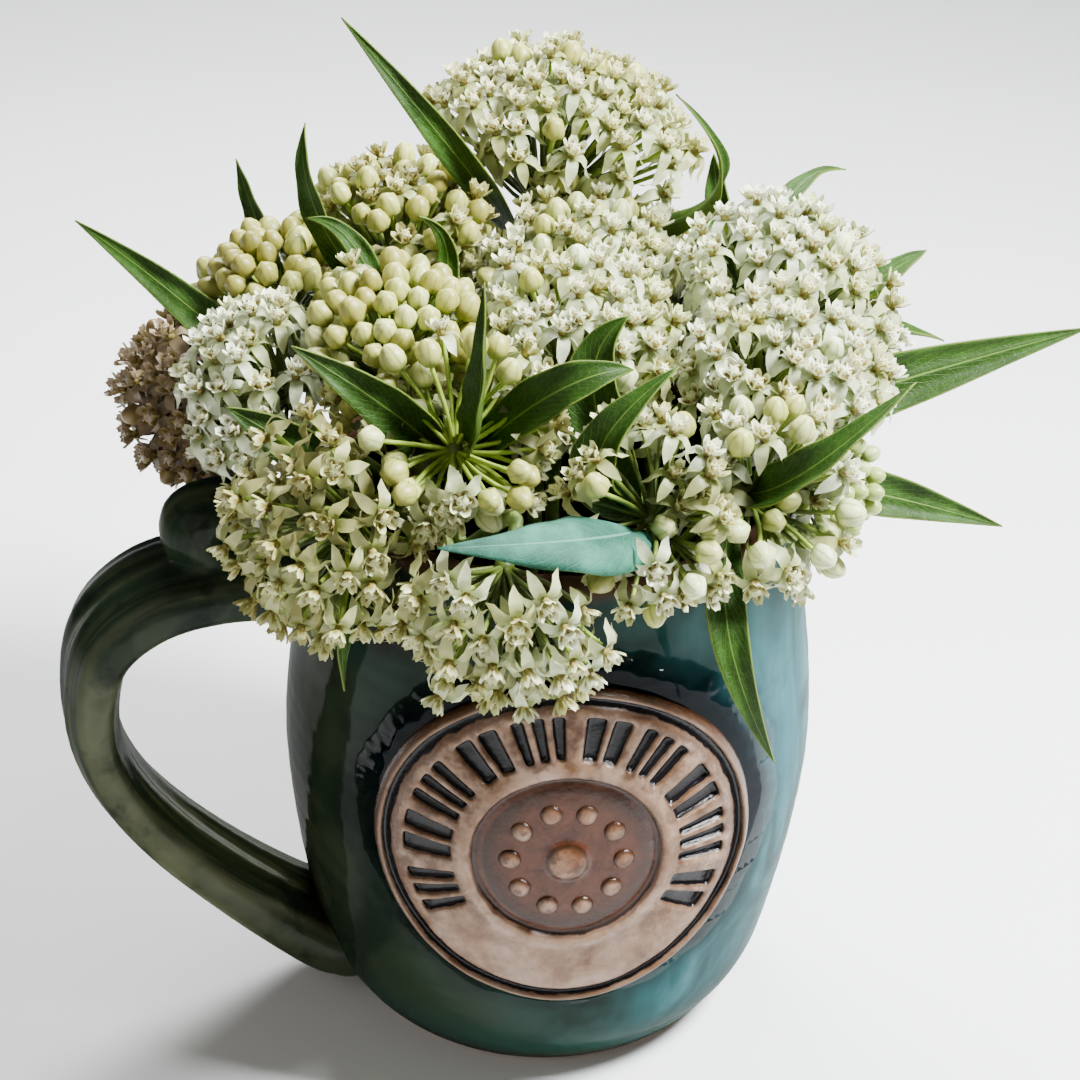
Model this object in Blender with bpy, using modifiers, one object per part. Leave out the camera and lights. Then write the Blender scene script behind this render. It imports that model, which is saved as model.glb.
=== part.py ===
"""A stoneware mug that holds a bunch of white milkweed in flower.

Metres, +Z up. The mug stands on its foot at the origin. Its medallion faces -Y and its handle -X.
Tables of places are in millimetres, and `mm` turns them into metres.
Each flower head is the closed outer shape of one umbel: its stalks fan out from the hub at its foot.
"""

import math

import bmesh
import bpy
from mathutils import Matrix, Vector

MM = 0.001
GAP = 0.35 * MM  # clearance kept between neighbouring solids
SWELL = 1.3 * GAP  # moves each corner of a cutter out, so that its flat faces clear by GAP

# The mug, (height, radius) up its outer wall
MUG_WALL = [(0, 31.5), (1.6, 34.0), (6, 37.4), (13, 41.0), (25, 43.7), (39, 45.9), (53, 47.0), (67, 46.2),
            (80, 44.4), (92, 42.6), (102, 41.5)]
RIM_HEIGHT = 106.0
WALL = 4.4
FLOOR = 7.0
MUG_STEPS = 40

# The handle, (distance from the mug's axis, height, size of its section) down its centre line
HANDLE_LINE = [(39, 85, 1.2), (48, 87.2, 1.25), (59, 88.4, 1.3), (70.5, 86.2, 1.33), (79, 79, 1.28),
               (81.6, 68, 1.18), (80.8, 58, 1.13), (76.7, 48, 1.13), (69.4, 37.8, 1.16), (59.4, 27.8, 1.2),
               (49.5, 19.6, 1.26), (41, 14, 1.3), (33, 12, 1.3)]
HANDLE_TURN = math.radians(15)  # from -X towards the medallion
STRAP_WIDTH = 18.5
STRAP_THICKNESS = 8.6
THUMB_REST = dict(centre=(55, 97), size=(34, 16, 17), lean=8)  # a pad of clay on the handle's shoulder

# The pressed clay disc on the front wall
MEDALLION_RADIUS = 31.8
MEDALLION_HEIGHT = 55.8
MEDALLION_THICKNESS = 3.0
MEDALLION_TURN = math.radians(5)  # from -Y towards +X

STALK_RADIUS = 1.75  # a stem below its fork
BRANCH_RADIUS = 1.25  # one flower head's own stalk
HUB_FOOT = 1.0  # a head's hub reaches this far below the point that its flowers fan out from
LEAF_THICKNESS = 0.7
HEAD_STEPS = 12

# Each stem stands on the mug's floor at `foot` and forks at `fork`
STEMS = {
    "stem_front_left": dict(foot=(-13, -20), fork=(-16, -19, 97)),
    "stem_front_right": dict(foot=(15, -19), fork=(18, -16, 95)),
    "stem_right": dict(foot=(26, -2), fork=(24, 2, 98)),
    "stem_centre": dict(foot=(2, 13), fork=(-1, 9, 98)),
    "stem_left": dict(foot=(-26, -1), fork=(-26, 0, 98)),
    "stem_back_left": dict(foot=(-20, 18), fork=(-26, 17.5, 106.5)),
    "stem_tall": dict(foot=(-6, 26), fork=(-3, 30, 104)),
    "stem_back": dict(foot=(18, 21), fork=(17, 25, 98)),
}

# A head's hub, the way it faces, the reach of its flowers and how far round they spread, in degrees.
# An open head has a bowl in its middle where no flower stands.
HEADS = {
    "head_low_front": dict(stem="stem_front_left", hub=(-8, -45, 110), axis=(-0.15, -0.78, -0.6), reach=25,
                           spread=68, bowl=False),
    "head_low_left": dict(stem="stem_front_left", hub=(-32, -31, 109), axis=(-0.65, -0.72, 0.15), reach=25,
                          spread=90, bowl=False),
    "head_starred": dict(stem="stem_front_left", hub=(-17, -26, 120), axis=(0.0, -0.7, 0.7), reach=22,
                         spread=92, bowl=True),
    "head_front_right": dict(stem="stem_front_right", hub=(15, -35, 114), axis=(0.1, -0.76, 0.65), reach=20,
                             spread=88, bowl=True),
    "head_right_front": dict(stem="stem_front_right", hub=(31, -28, 114), axis=(0.4, -0.75, 0.5), reach=20,
                             spread=88, bowl=True),
    "head_green_bud": dict(stem="stem_front_right", hub=(41, -14, 110), axis=(0.75, -0.6, 0.1), reach=14,
                           spread=88, bowl=False),
    "head_right_low": dict(stem="stem_right", hub=(33, -5, 117), axis=(0.55, -0.4, 0.72), reach=26,
                           spread=85, bowl=False),
    "head_right_high": dict(stem="stem_right", hub=(34, 17, 122), axis=(0.4, 0.1, 0.9), reach=27,
                            spread=85, bowl=False),
    "head_centre": dict(stem="stem_centre", hub=(1, 0, 116), axis=(0.05, -0.35, 0.93), reach=29,
                        spread=80, bowl=False),
    "head_centre_back": dict(stem="stem_centre", hub=(2, 22, 121), axis=(0.05, 0.0, 1.0), reach=25,
                             spread=80, bowl=False),
    "head_left_bud": dict(stem="stem_left", hub=(-28, -6, 121), axis=(-0.1, -0.4, 0.9), reach=24,
                          spread=82, bowl=False),
    "head_left": dict(stem="stem_left", hub=(-46, -5, 117), axis=(-0.45, -0.45, 0.77), reach=21,
                      spread=85, bowl=False),
    "head_faded": dict(stem="stem_back_left", hub=(-58, 12, 109), axis=(-0.75, -0.5, 0.0), reach=21,
                       spread=90, bowl=False),
    "head_back_left_bud": dict(stem="stem_back_left", hub=(-48, 18, 121), axis=(-0.4, 0.1, 0.9), reach=19,
                               spread=80, bowl=False),
    "head_back_left": dict(stem="stem_back_left", hub=(-29, 26, 125), axis=(-0.15, 0.1, 0.97), reach=25,
                           spread=84, bowl=False),
    "head_top": dict(stem="stem_tall", hub=(-5, 47, 131), axis=(0.22, 0.0, 0.97), reach=33,
                     spread=76, bowl=False),
    "head_back": dict(stem="stem_back", hub=(10, 44, 110), axis=(0.1, 0.9, 0.2), reach=25,
                      spread=88, bowl=False),
    "head_back_right": dict(stem="stem_back", hub=(34, 35, 112), axis=(0.6, 0.75, 0.3), reach=25,
                            spread=88, bowl=False),
    "head_back_low": dict(stem="stem_tall", hub=(-25, 46, 111), axis=(-0.45, 0.85, 0.2), reach=24,
                          spread=88, bowl=False),
}

# A leaf grows under a head, `below` its hub. Its midrib passes `via` halfway and ends at `tip`.
# `face` is the way that its upper side looks, and `fold` how far its edges rise from the midrib.
LEAVES = {
    "leaf_top_left": dict(head="head_top", below=7, via=(-21, 24, 152), tip=(-40, 30, 172), width=5.5,
                          face=(-0.3, -0.8, 0.5), fold=0.35),
    "leaf_top_right": dict(head="head_top", below=6, via=(24, 27, 143), tip=(17, 22, 164), width=5,
                           face=(0.9, -0.3, 0.3), fold=0.5),
    "leaf_behind_top": dict(head="head_right_high", below=5, via=(27, 34, 135), tip=(25, 38, 147), width=6,
                            face=(-0.2, -0.9, 0.3), fold=0.3),
    "leaf_back_right": dict(head="head_right_high", below=7, via=(38, 40, 136), tip=(50, 53, 139), width=5,
                            face=(-0.3, -0.3, 1.0), fold=0.3),
    "leaf_back_left_outer": dict(head="head_back_left_bud", below=5, via=(-54, 31, 131), tip=(-59, 36, 143),
                                 width=5, face=(-0.5, -0.8, 0.2), fold=0.4),
    "leaf_back_left_inner": dict(head="head_back_left", below=6, via=(-42, 13, 142), tip=(-45, 17, 158),
                                 width=5.5, face=(-0.5, -0.8, 0.2), fold=0.4),
    "leaf_back_left_small": dict(head="head_left_bud", below=4, via=(-34, 4, 139), tip=(-44, 7, 145),
                                 width=4.5, face=(0.3, -0.8, 0.6), fold=0.3),
    "leaf_far_left": dict(head="head_left", below=6, via=(-62, 9, 125), tip=(-85, 20, 137), width=7,
                          face=(-0.2, -0.8, 0.7), fold=0.35),
    "leaf_small_centre": dict(head="head_left_bud", below=5, via=(-20, 5, 137), tip=(-25, 3, 148), width=4,
                              face=(0.2, -0.9, 0.3), fold=0.3),
    "leaf_right_upper": dict(head="head_right_high", below=6, via=(52, 23, 129), tip=(63, 30, 134), width=6,
                             face=(-0.3, -0.7, 0.7), fold=0.4),
    "leaf_right_long": dict(head="head_right_low", below=6, via=(55, 8, 118), tip=(91, 18, 126), width=11,
                            face=(-0.1, -0.7, 0.8), fold=0.25),
    "leaf_right_front": dict(head="head_right_front", below=4, via=(38, -38, 125), tip=(55, -32, 139),
                             width=7, face=(-0.6, -0.5, 0.6), fold=0.5),
    "leaf_right_low": dict(head="head_green_bud", below=5, via=(55, -5, 104), tip=(77, -2, 97), width=8,
                           face=(0.2, -0.6, 0.8), fold=0.35),
    "leaf_left_centre": dict(head="head_starred", below=6, via=(-28, -29, 129), tip=(-43, -29, 139), width=8,
                             face=(-0.2, -0.9, 0.3), fold=0.3),
    "leaf_left_low": dict(head="head_low_left", below=5, via=(-43, -25, 119), tip=(-54, -24, 125), width=8,
                          face=(-0.3, -0.8, 0.6), fold=0.3),
    "leaf_upright": dict(head="head_starred", below=3, via=(-13, -33, 132), tip=(-13, -28, 151), width=6.5,
                         face=(-0.9, -0.4, 0.1), fold=0.6),
    "leaf_centre_flat": dict(head="head_starred", below=7, via=(-1, -31, 134), tip=(11, -28, 137), width=8,
                             face=(0.1, -0.7, 0.8), fold=0.3),
    "leaf_centre_dark": dict(head="head_front_right", below=6, via=(5, -22, 130), tip=(10, -19, 142),
                             width=10, face=(-0.4, -0.8, 0.4), fold=0.3),
    "leaf_centre_large": dict(head="head_front_right", below=5, via=(6, -37, 126), tip=(18, -32, 140),
                              width=9, face=(-0.5, -0.8, 0.5), fold=0.3),
    "leaf_underside": dict(head="head_front_right", below=4, via=(5, -51, 119), tip=(-18, -61, 122), width=13,
                           face=(0.0, 0.5, -0.8), fold=0.25),
    "leaf_hanging_right": dict(head="head_right_front", below=5, via=(28, -46, 100), tip=(37, -48, 77),
                               width=6.5, face=(0.1, -1.0, 0.2), fold=0.3),
    "leaf_hanging_left": dict(head="head_low_left", below=4, via=(-33, -42, 101), tip=(-33, -46, 86), width=4.5,
                              face=(0.8, -0.7, 0.1), fold=0.4),
    "leaf_rear_left": dict(head="head_back_low", below=5, via=(-45, 57, 115), tip=(-62, 67, 112), width=10,
                           face=(-0.2, 0.4, 0.9), fold=0.3),
    "leaf_rear": dict(head="head_back", below=4, via=(2, 66, 119), tip=(-2, 84, 127), width=11,
                      face=(0.1, -0.5, 0.9), fold=0.3),
    "leaf_rear_low": dict(head="head_back", below=4, via=(12, 55, 97), tip=(16, 63, 77), width=10,
                          face=(0.1, 0.95, 0.3), fold=0.3),
    "leaf_rear_right": dict(head="head_back_right", below=5, via=(54, 46, 110), tip=(72, 56, 104), width=10,
                            face=(0.3, 0.1, 0.9), fold=0.3),
}

CLAY = (0.05, 0.16, 0.15)
TERRACOTTA = (0.52, 0.32, 0.22)
STEM_GREEN = (0.22, 0.36, 0.07)
LEAF_GREEN = (0.06, 0.17, 0.03)
PETAL_WHITE = (0.84, 0.84, 0.72)


def mm(*values):
    return Vector(values) * MM


def material(name, colour, roughness, metallic=0.0):
    made = bpy.data.materials.new(name)
    made.use_nodes = True
    shader = made.node_tree.nodes["Principled BSDF"]
    shader.inputs["Base Color"].default_value = (*colour, 1.0)
    shader.inputs["Roughness"].default_value = roughness
    shader.inputs["Metallic"].default_value = metallic
    return made


def smooth_path(points, steps):
    """Points on a Catmull-Rom curve through `points`, `steps` to a span."""
    points = [Vector(p) for p in points]
    path = []
    for i in range(len(points) - 1):
        before = points[i - 1] if i else points[0] * 2 - points[1]
        after = points[i + 2] if i + 2 < len(points) else points[-1] * 2 - points[-2]
        for k in range(steps):
            t = k / steps
            slope_in, slope_out = (points[i + 1] - before) / 2, (after - points[i]) / 2
            path.append(
                points[i] * (2 * t**3 - 3 * t**2 + 1) + slope_in * (t**3 - 2 * t**2 + t)
                + points[i + 1] * (3 * t**2 - 2 * t**3) + slope_out * (t**3 - t**2)
            )
    return path + [points[-1]]


def object_of(name, mesh, collection, finish=None):
    made = bpy.data.objects.new(name, mesh)
    collection.objects.link(made)
    if finish:
        made.data.materials.append(finish)
    return made


def as_cutter(obj):
    obj.hide_render = True
    obj.display_type = "WIRE"
    return obj


def turned(name, outline, steps, collection, finish=None):
    """A solid of revolution about Z. `outline` is (radius, height) in metres, down the outer side."""
    mesh = bpy.data.meshes.new(name)
    mesh.from_pydata([(r, 0, z) for r, z in outline], [(i, i + 1) for i in range(len(outline) - 1)], [])
    made = object_of(name, mesh, collection, finish)
    screw = made.modifiers.new("Turn", "SCREW")
    screw.steps = screw.render_steps = steps
    screw.use_merge_vertices = True
    screw.merge_threshold = 0.00002
    screw.use_smooth_shade = True
    return made


def baked(obj):
    """Makes the object's mesh what its modifiers give, with no point doubled."""
    bpy.context.view_layer.update()
    evaluated = obj.evaluated_get(bpy.context.evaluated_depsgraph_get())
    mesh = bpy.data.meshes.new_from_object(evaluated)
    weld = bmesh.new()
    weld.from_mesh(mesh)
    bmesh.ops.remove_doubles(weld, verts=weld.verts, dist=0.01 * MM)
    bmesh.ops.triangulate(weld, faces=weld.faces)
    weld.to_mesh(mesh)
    weld.free()
    if obj.type == "CURVE":
        name, finish = obj.name, list(obj.data.materials)
        collection, world = obj.users_collection[0], obj.matrix_world.copy()
        bpy.data.objects.remove(obj)
        obj = object_of(name, mesh, collection)
        obj.matrix_world = world
        obj.data.materials.clear()
        for slot in finish:
            obj.data.materials.append(slot)
        return obj
    obj.modifiers.clear()
    obj.data = mesh
    return obj


def combine(obj, other, operation):
    boolean = obj.modifiers.new(operation.title(), "BOOLEAN")
    boolean.operation = operation
    boolean.object = other
    boolean.use_self = True
    return obj


def reach_of(obj):
    """The lowest and the highest corner of an object's box in the world."""
    corners = [obj.matrix_world @ Vector(corner) for corner in obj.bound_box]
    return [[limit(corner[i] for corner in corners) for i in range(3)] for limit in (min, max)]


def trimmed(obj, cutters):
    """Cuts the object by every cutter that comes near it, and keeps its largest piece."""
    bpy.context.view_layer.update()
    low, high = reach_of(obj)
    for cutter in cutters:
        cutter_low, cutter_high = reach_of(cutter)
        if all(low[i] < cutter_high[i] and cutter_low[i] < high[i] for i in range(3)):
            combine(obj, cutter, "DIFFERENCE")
    obj = baked(obj)
    largest_body(obj)
    return obj


def swollen(obj, collection):
    """A cutter in the shape of a finished piece, at least GAP larger all round."""
    mesh = obj.data.copy()
    shape = bmesh.new()
    shape.from_mesh(mesh)
    shape.normal_update()
    for vertex, normal in [(v, v.normal.copy()) for v in shape.verts]:
        vertex.co += normal * SWELL
    shape.to_mesh(mesh)
    shape.free()
    made = as_cutter(object_of("cut_" + obj.name, mesh, collection))
    made.matrix_world = obj.matrix_world
    return made


def tube(name, points, radii, collection):
    """A round rod along `points`, in metres, with the radius given at each."""
    curve = bpy.data.curves.new(name, "CURVE")
    curve.dimensions = "3D"
    curve.bevel_depth = 1.0
    curve.bevel_resolution = 1
    curve.use_fill_caps = True
    spline = curve.splines.new("POLY")
    spline.points.add(len(points) - 1)
    for place, point, radius in zip(spline.points, points, radii):
        place.co = (*point, 1.0)
        place.radius = radius
    return baked(object_of(name, curve, collection))


def largest_body(obj):
    """Deletes every part of the mesh that isn't joined to its largest one."""
    shape = bmesh.new()
    shape.from_mesh(obj.data)
    unseen = set(shape.verts)
    bodies = []
    while unseen:
        front = [unseen.pop()]
        body = set(front)
        while front:
            for edge in front.pop().link_edges:
                for vertex in edge.verts:
                    if vertex in unseen:
                        unseen.remove(vertex)
                        body.add(vertex)
                        front.append(vertex)
        bodies.append(body)
    bodies.sort(key=len)
    bmesh.ops.delete(shape, geom=[v for body in bodies[:-1] for v in body], context="VERTS")
    shape.to_mesh(obj.data)
    shape.free()


def wall_outline(grow):
    """(radius, height) up the mug's outer wall, moved outwards by `grow`, in metres."""
    return [(r * MM + grow, z * MM) for z, r in MUG_WALL]


def mug_body(collection, finish):
    outer = wall_outline(0)
    inner = [(r - WALL * MM, z) for r, z in outer if z > (FLOOR + 5) * MM]
    floor = [(0, FLOOR * MM), (30 * MM, FLOOR * MM), (inner[0][0] - 2.5 * MM, (FLOOR + 2) * MM)]
    lip_out, lip_in = outer[-1][0], inner[-1][0]
    lip = [(lip_in + 0.6 * MM, (RIM_HEIGHT - 1.2) * MM), ((lip_in + lip_out) / 2, RIM_HEIGHT * MM),
           (lip_out - 0.4 * MM, (RIM_HEIGHT - 1.2) * MM)]
    return turned("mug_body", floor + inner + lip + outer[::-1] + [(0, 0)], MUG_STEPS, collection, finish)


def wall_cutter(collection):
    """The mug's outer shape with no hollow, GAP larger all over: what leans on the mug is cut by it."""
    outer = wall_outline(GAP)
    top = (RIM_HEIGHT * MM + GAP)
    outline = [(0, top), (outer[-1][0] - 0.5 * MM, top)] + outer[::-1] + [(0, -GAP)]
    return as_cutter(turned("cut_wall", outline, MUG_STEPS, collection))


def mug_handle(collection, cutters, finish, wall):
    """A pulled strap of clay with a pad for the thumb on its shoulder, luted to the wall at both ends."""
    section = bpy.data.curves.new("strap_section", "CURVE")
    outline = section.splines.new("POLY")
    outline.points.add(11)
    outline.use_cyclic_u = True
    for i, place in enumerate(outline.points):
        angle = -math.tau * (i + 0.5) / 12
        across, through = math.cos(angle), math.sin(angle)
        square = (abs(across) ** 3 + abs(through) ** 3) ** (-1 / 3)
        place.co = (STRAP_WIDTH / 2 * MM * across * square, STRAP_THICKNESS / 2 * MM * through * square, 0, 1)
    section = as_cutter(object_of("strap_section", section, cutters))

    curve = bpy.data.curves.new("mug_handle", "CURVE")
    curve.dimensions = "3D"
    curve.bevel_mode = "OBJECT"
    curve.bevel_object = section
    curve.use_fill_caps = True
    line = smooth_path(HANDLE_LINE, 2)
    spline = curve.splines.new("POLY")
    spline.points.add(len(line) - 1)
    for place, point in zip(spline.points, line):
        place.co = (-point.x * MM, 0, point.y * MM, 1)
        place.radius = point.z
    handle = baked(object_of("mug_handle", curve, collection, finish))

    shape = bmesh.new()
    bmesh.ops.create_uvsphere(shape, u_segments=16, v_segments=10, radius=0.5)
    rest_mesh = bpy.data.meshes.new("cut_thumb_rest")
    shape.to_mesh(rest_mesh)
    shape.free()
    rest_mesh.transform(Matrix.Diagonal((*mm(*THUMB_REST["size"]), 1)))
    rest_mesh.transform(Matrix.Rotation(math.radians(THUMB_REST["lean"]), 4, "Y"))
    distance, height = THUMB_REST["centre"]
    rest_mesh.transform(Matrix.Translation(mm(-distance, 0, height)))
    rest = as_cutter(object_of("cut_thumb_rest", rest_mesh, cutters))

    turn = Matrix.Rotation(HANDLE_TURN, 4, "Z")
    handle.matrix_world = turn
    rest.matrix_world = turn
    combine(handle, rest, "UNION")
    combine(handle, wall, "DIFFERENCE")
    handle = baked(handle)
    largest_body(handle)
    return handle


def mug_medallion(collection, cutters, finish, wall):
    """A disc of clay pressed on to the front wall, so that it follows the wall's curve."""
    skin = wall_outline(MEDALLION_THICKNESS * MM)
    outline = [(0, skin[-1][1])] + skin[::-1] + [(0, 0)]
    disc = turned("mug_medallion", outline, 2 * MUG_STEPS, collection, finish)
    shape = bmesh.new()
    depth = 60 * MM
    bmesh.ops.create_cone(shape, cap_ends=True, segments=48, radius1=MEDALLION_RADIUS * MM,
                          radius2=MEDALLION_RADIUS * MM, depth=depth)
    mesh = bpy.data.meshes.new("cut_medallion")
    shape.to_mesh(mesh)
    shape.free()
    stamp = as_cutter(object_of("cut_medallion", mesh, cutters))
    near_end = MUG_WALL[0][1] * MM * 0.8  # the stamp starts well inside the wall
    stamp.matrix_world = (Matrix.Rotation(MEDALLION_TURN, 4, "Z")
                          @ Matrix.Translation((0, -near_end - depth / 2, MEDALLION_HEIGHT * MM))
                          @ Matrix.Rotation(math.pi / 2, 4, "X"))
    combine(disc, stamp, "INTERSECT")
    combine(disc, wall, "DIFFERENCE")
    disc = baked(disc)
    largest_body(disc)
    return disc


def head_axis(head):
    return Vector(head["axis"]).normalized()


def stalk_point(head, below):
    """The place on a head's own stalk that is `below` its hub, in metres."""
    return mm(*head["hub"]) - head_axis(head) * below * MM


def branch_path(stem, head):
    """From the stem's fork to just under the head's hub."""
    tip = stalk_point(head, HUB_FOOT) - head_axis(head) * 2 * GAP
    return smooth_path([mm(*stem["fork"]), stalk_point(head, 9), tip], 3)


def stem_with_branches(stem_name, name, collection, grow=0.0, finish=None):
    """A stem and the stalks of its heads as one body. `grow` makes it thicker, for a cutter."""
    stem = STEMS[stem_name]
    heads = [head for head in HEADS.values() if head["stem"] == stem_name]
    foot = mm(*stem["foot"], FLOOR) + Vector((0, 0, GAP))
    fork = mm(*stem["fork"])
    rise = [foot.lerp(fork, part) for part in (0, 0.35, 0.7)]
    branch_radius = BRANCH_RADIUS * MM + grow
    way = branch_path(stem, heads[0])
    radii = [STALK_RADIUS * MM + grow] * len(rise) + [branch_radius] * len(way)
    made = tube(name, rise + way, radii, collection)
    made.data.materials.clear()
    if finish:
        made.data.materials.append(finish)
    for i, head in enumerate(heads[1:]):
        way = branch_path(stem, head)
        inside = way[0] + (foot - fork).normalized() * 0.7 * MM
        side = tube(f"{name}_fork_{i}", [inside] + way[1:], [branch_radius] * len(way), collection)
        made = baked(combine(made, side, "UNION"))
        bpy.data.objects.remove(side)
    return made


def leaf_rib(leaf):
    """Base, bend and tip of a leaf's midrib, in metres. Its base stands just clear of its head's stalk."""
    head = HEADS[leaf["head"]]
    root = stalk_point(head, leaf["below"])
    via, tip = mm(*leaf["via"]), mm(*leaf["tip"])
    out = via - root
    out -= head_axis(head) * out.dot(head_axis(head))
    base = root + out.normalized() * (BRANCH_RADIUS + 0.9) * MM
    return base, via * 2 - (base + tip) / 2, tip


def leaf_blade(leaf_name, name, collection, grow=0.0, finish=None):
    """A thin folded blade. `grow` widens and thickens it all round, for a cutter."""
    leaf = LEAVES[leaf_name]
    base, bend, tip = leaf_rib(leaf)
    face = Vector(leaf["face"]).normalized()
    shape = bmesh.new()
    bmesh.ops.create_grid(shape, x_segments=6, y_segments=2, size=0.5)
    bmesh.ops.triangulate(shape, faces=shape.faces, quad_method="FIXED")
    for vertex in shape.verts:
        along, side = vertex.co.x + 0.5, vertex.co.y * 2
        stretch = along + (along - 0.5) * 2 * grow / (tip - base).length
        point = base.lerp(bend, stretch).lerp(bend.lerp(tip, stretch), stretch)
        run = (bend.lerp(tip, along) - base.lerp(bend, along)).normalized()
        across = run.cross(face).normalized()
        swell = math.sin(math.pi * along**0.7) ** 0.9 if 0 < along < 1 else 0
        half = max(leaf["width"] / 2 * swell, 0.9 - 0.5 * along) * MM + grow
        up = across.cross(run)
        vertex.co = point + across * side * half + up * abs(side) * half * leaf["fold"]
    bmesh.ops.recalc_face_normals(shape, faces=shape.faces)
    mesh = bpy.data.meshes.new(name)
    shape.to_mesh(mesh)
    shape.free()
    made = object_of(name, mesh, collection, finish)
    solidify = made.modifiers.new("Thickness", "SOLIDIFY")
    solidify.thickness = LEAF_THICKNESS * MM + 2 * grow
    solidify.offset = 0
    return made


def head_outline(head):
    """(radius, height) of a head about its own axis, from its crown down to its hub."""
    reach, spread = head["reach"] * MM, math.radians(head["spread"])
    first = math.radians(38) if head["bowl"] else 0
    crown = [(0, 0.30 * reach), (0.33 * reach, 0.48 * reach)] if head["bowl"] else []
    arc_steps = 3 if head["bowl"] else 4
    arc = [first + (spread - first) * i / arc_steps for i in range(arc_steps + 1)]
    under = spread + math.radians(15)
    skirt = (0.62 * reach * math.sin(under), 0.62 * reach * math.cos(under))
    return (crown + [(reach * math.sin(a), reach * math.cos(a)) for a in arc]
            + [skirt, (1.7 * MM, -HUB_FOOT * MM), (0, -HUB_FOOT * MM)])


def heart(head):
    return mm(*head["hub"]) + head_axis(head) * 0.35 * head["reach"] * MM


def flower_head(name, collection, finish, others):
    """One umbel's outer shape, trimmed back from its neighbours, the leaves, the stems and the mug."""
    head = HEADS[name]
    made = baked(turned(name, head_outline(head), HEAD_STEPS, collection, finish))
    made.location = mm(*head["hub"])
    made.rotation_mode = "QUATERNION"
    made.rotation_quaternion = Vector((0, 0, 1)).rotation_difference(head_axis(head))
    bpy.context.view_layer.update()
    inward = made.matrix_world.inverted()
    shape = bmesh.new()
    shape.from_mesh(made.data)
    for other in HEADS.values():
        if other is head or (heart(other) - heart(head)).length > (head["reach"] + other["reach"]) * MM:
            continue
        way = (heart(other) - heart(head)).normalized()
        middle = (heart(other) + heart(head)) / 2 - way * GAP
        cut = bmesh.ops.bisect_plane(
            shape, geom=shape.verts[:] + shape.edges[:] + shape.faces[:], plane_co=inward @ middle,
            plane_no=inward.to_3x3() @ way, clear_outer=True)
        rim = [item for item in cut["geom_cut"] if isinstance(item, bmesh.types.BMEdge)]
        if rim:
            bmesh.ops.contextual_create(shape, geom=rim)
    bmesh.ops.recalc_face_normals(shape, faces=shape.faces)
    shape.to_mesh(made.data)
    shape.free()
    return trimmed(made, others)


def main():
    for obj in list(bpy.data.objects):
        bpy.data.objects.remove(obj)
    scene = bpy.context.scene.collection
    parts = bpy.data.collections.new("milkweed_in_mug")
    cutters = bpy.data.collections.new("cutters")
    scene.children.link(parts)
    scene.children.link(cutters)

    glaze = material("glaze", CLAY, 0.15)
    clay = material("pressed_clay", TERRACOTTA, 0.25)
    stalk = material("stem", STEM_GREEN, 0.5)
    blade = material("leaf", LEAF_GREEN, 0.45)
    petals = material("flowers", PETAL_WHITE, 0.55)

    wall = wall_cutter(cutters)
    mug_body(parts, glaze)
    handle = mug_handle(parts, cutters, glaze, wall)
    medallion = mug_medallion(parts, cutters, clay, wall)

    around_stems = []
    for name in STEMS:
        stem_with_branches(name, name, parts, finish=stalk)
        around_stems.append(as_cutter(stem_with_branches(name, "cut_" + name, cutters, grow=GAP)))
    around_heads = [wall, swollen(handle, cutters), swollen(medallion, cutters)] + around_stems
    for name in LEAVES:
        trimmed(leaf_blade(name, name, parts, finish=blade), around_stems)
        around_heads.append(as_cutter(baked(leaf_blade(name, "cut_" + name, cutters, grow=1.5 * GAP))))
    for name in HEADS:
        flower_head(name, parts, petals, around_heads)


main()
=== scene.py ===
import math
import random

import bmesh
import bpy
from mathutils import Matrix, Vector, noise
from mathutils.bvhtree import BVHTree


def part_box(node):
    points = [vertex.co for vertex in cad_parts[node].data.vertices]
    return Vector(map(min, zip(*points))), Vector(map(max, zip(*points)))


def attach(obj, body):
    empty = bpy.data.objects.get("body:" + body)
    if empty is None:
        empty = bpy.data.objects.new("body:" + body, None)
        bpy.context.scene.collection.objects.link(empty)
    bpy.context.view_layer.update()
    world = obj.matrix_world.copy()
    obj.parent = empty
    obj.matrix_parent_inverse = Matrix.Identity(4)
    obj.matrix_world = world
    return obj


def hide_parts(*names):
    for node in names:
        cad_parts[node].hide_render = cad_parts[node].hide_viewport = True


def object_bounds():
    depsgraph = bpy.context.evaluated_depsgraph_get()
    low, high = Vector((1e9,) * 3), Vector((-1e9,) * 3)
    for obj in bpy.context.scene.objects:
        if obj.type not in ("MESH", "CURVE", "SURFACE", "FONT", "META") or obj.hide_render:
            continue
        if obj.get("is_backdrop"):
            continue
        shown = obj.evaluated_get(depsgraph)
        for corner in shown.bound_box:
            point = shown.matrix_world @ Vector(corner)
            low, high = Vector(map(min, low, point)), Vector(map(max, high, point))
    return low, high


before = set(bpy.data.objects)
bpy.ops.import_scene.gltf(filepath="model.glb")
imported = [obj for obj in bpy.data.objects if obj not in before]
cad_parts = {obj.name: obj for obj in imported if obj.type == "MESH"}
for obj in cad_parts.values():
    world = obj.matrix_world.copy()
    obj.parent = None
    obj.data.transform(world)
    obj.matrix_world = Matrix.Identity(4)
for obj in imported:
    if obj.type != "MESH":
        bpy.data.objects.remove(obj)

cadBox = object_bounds()  # the CAD model's own box, before anything is added
mm = 0.001
up = Vector((0, 0, 1))

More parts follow.
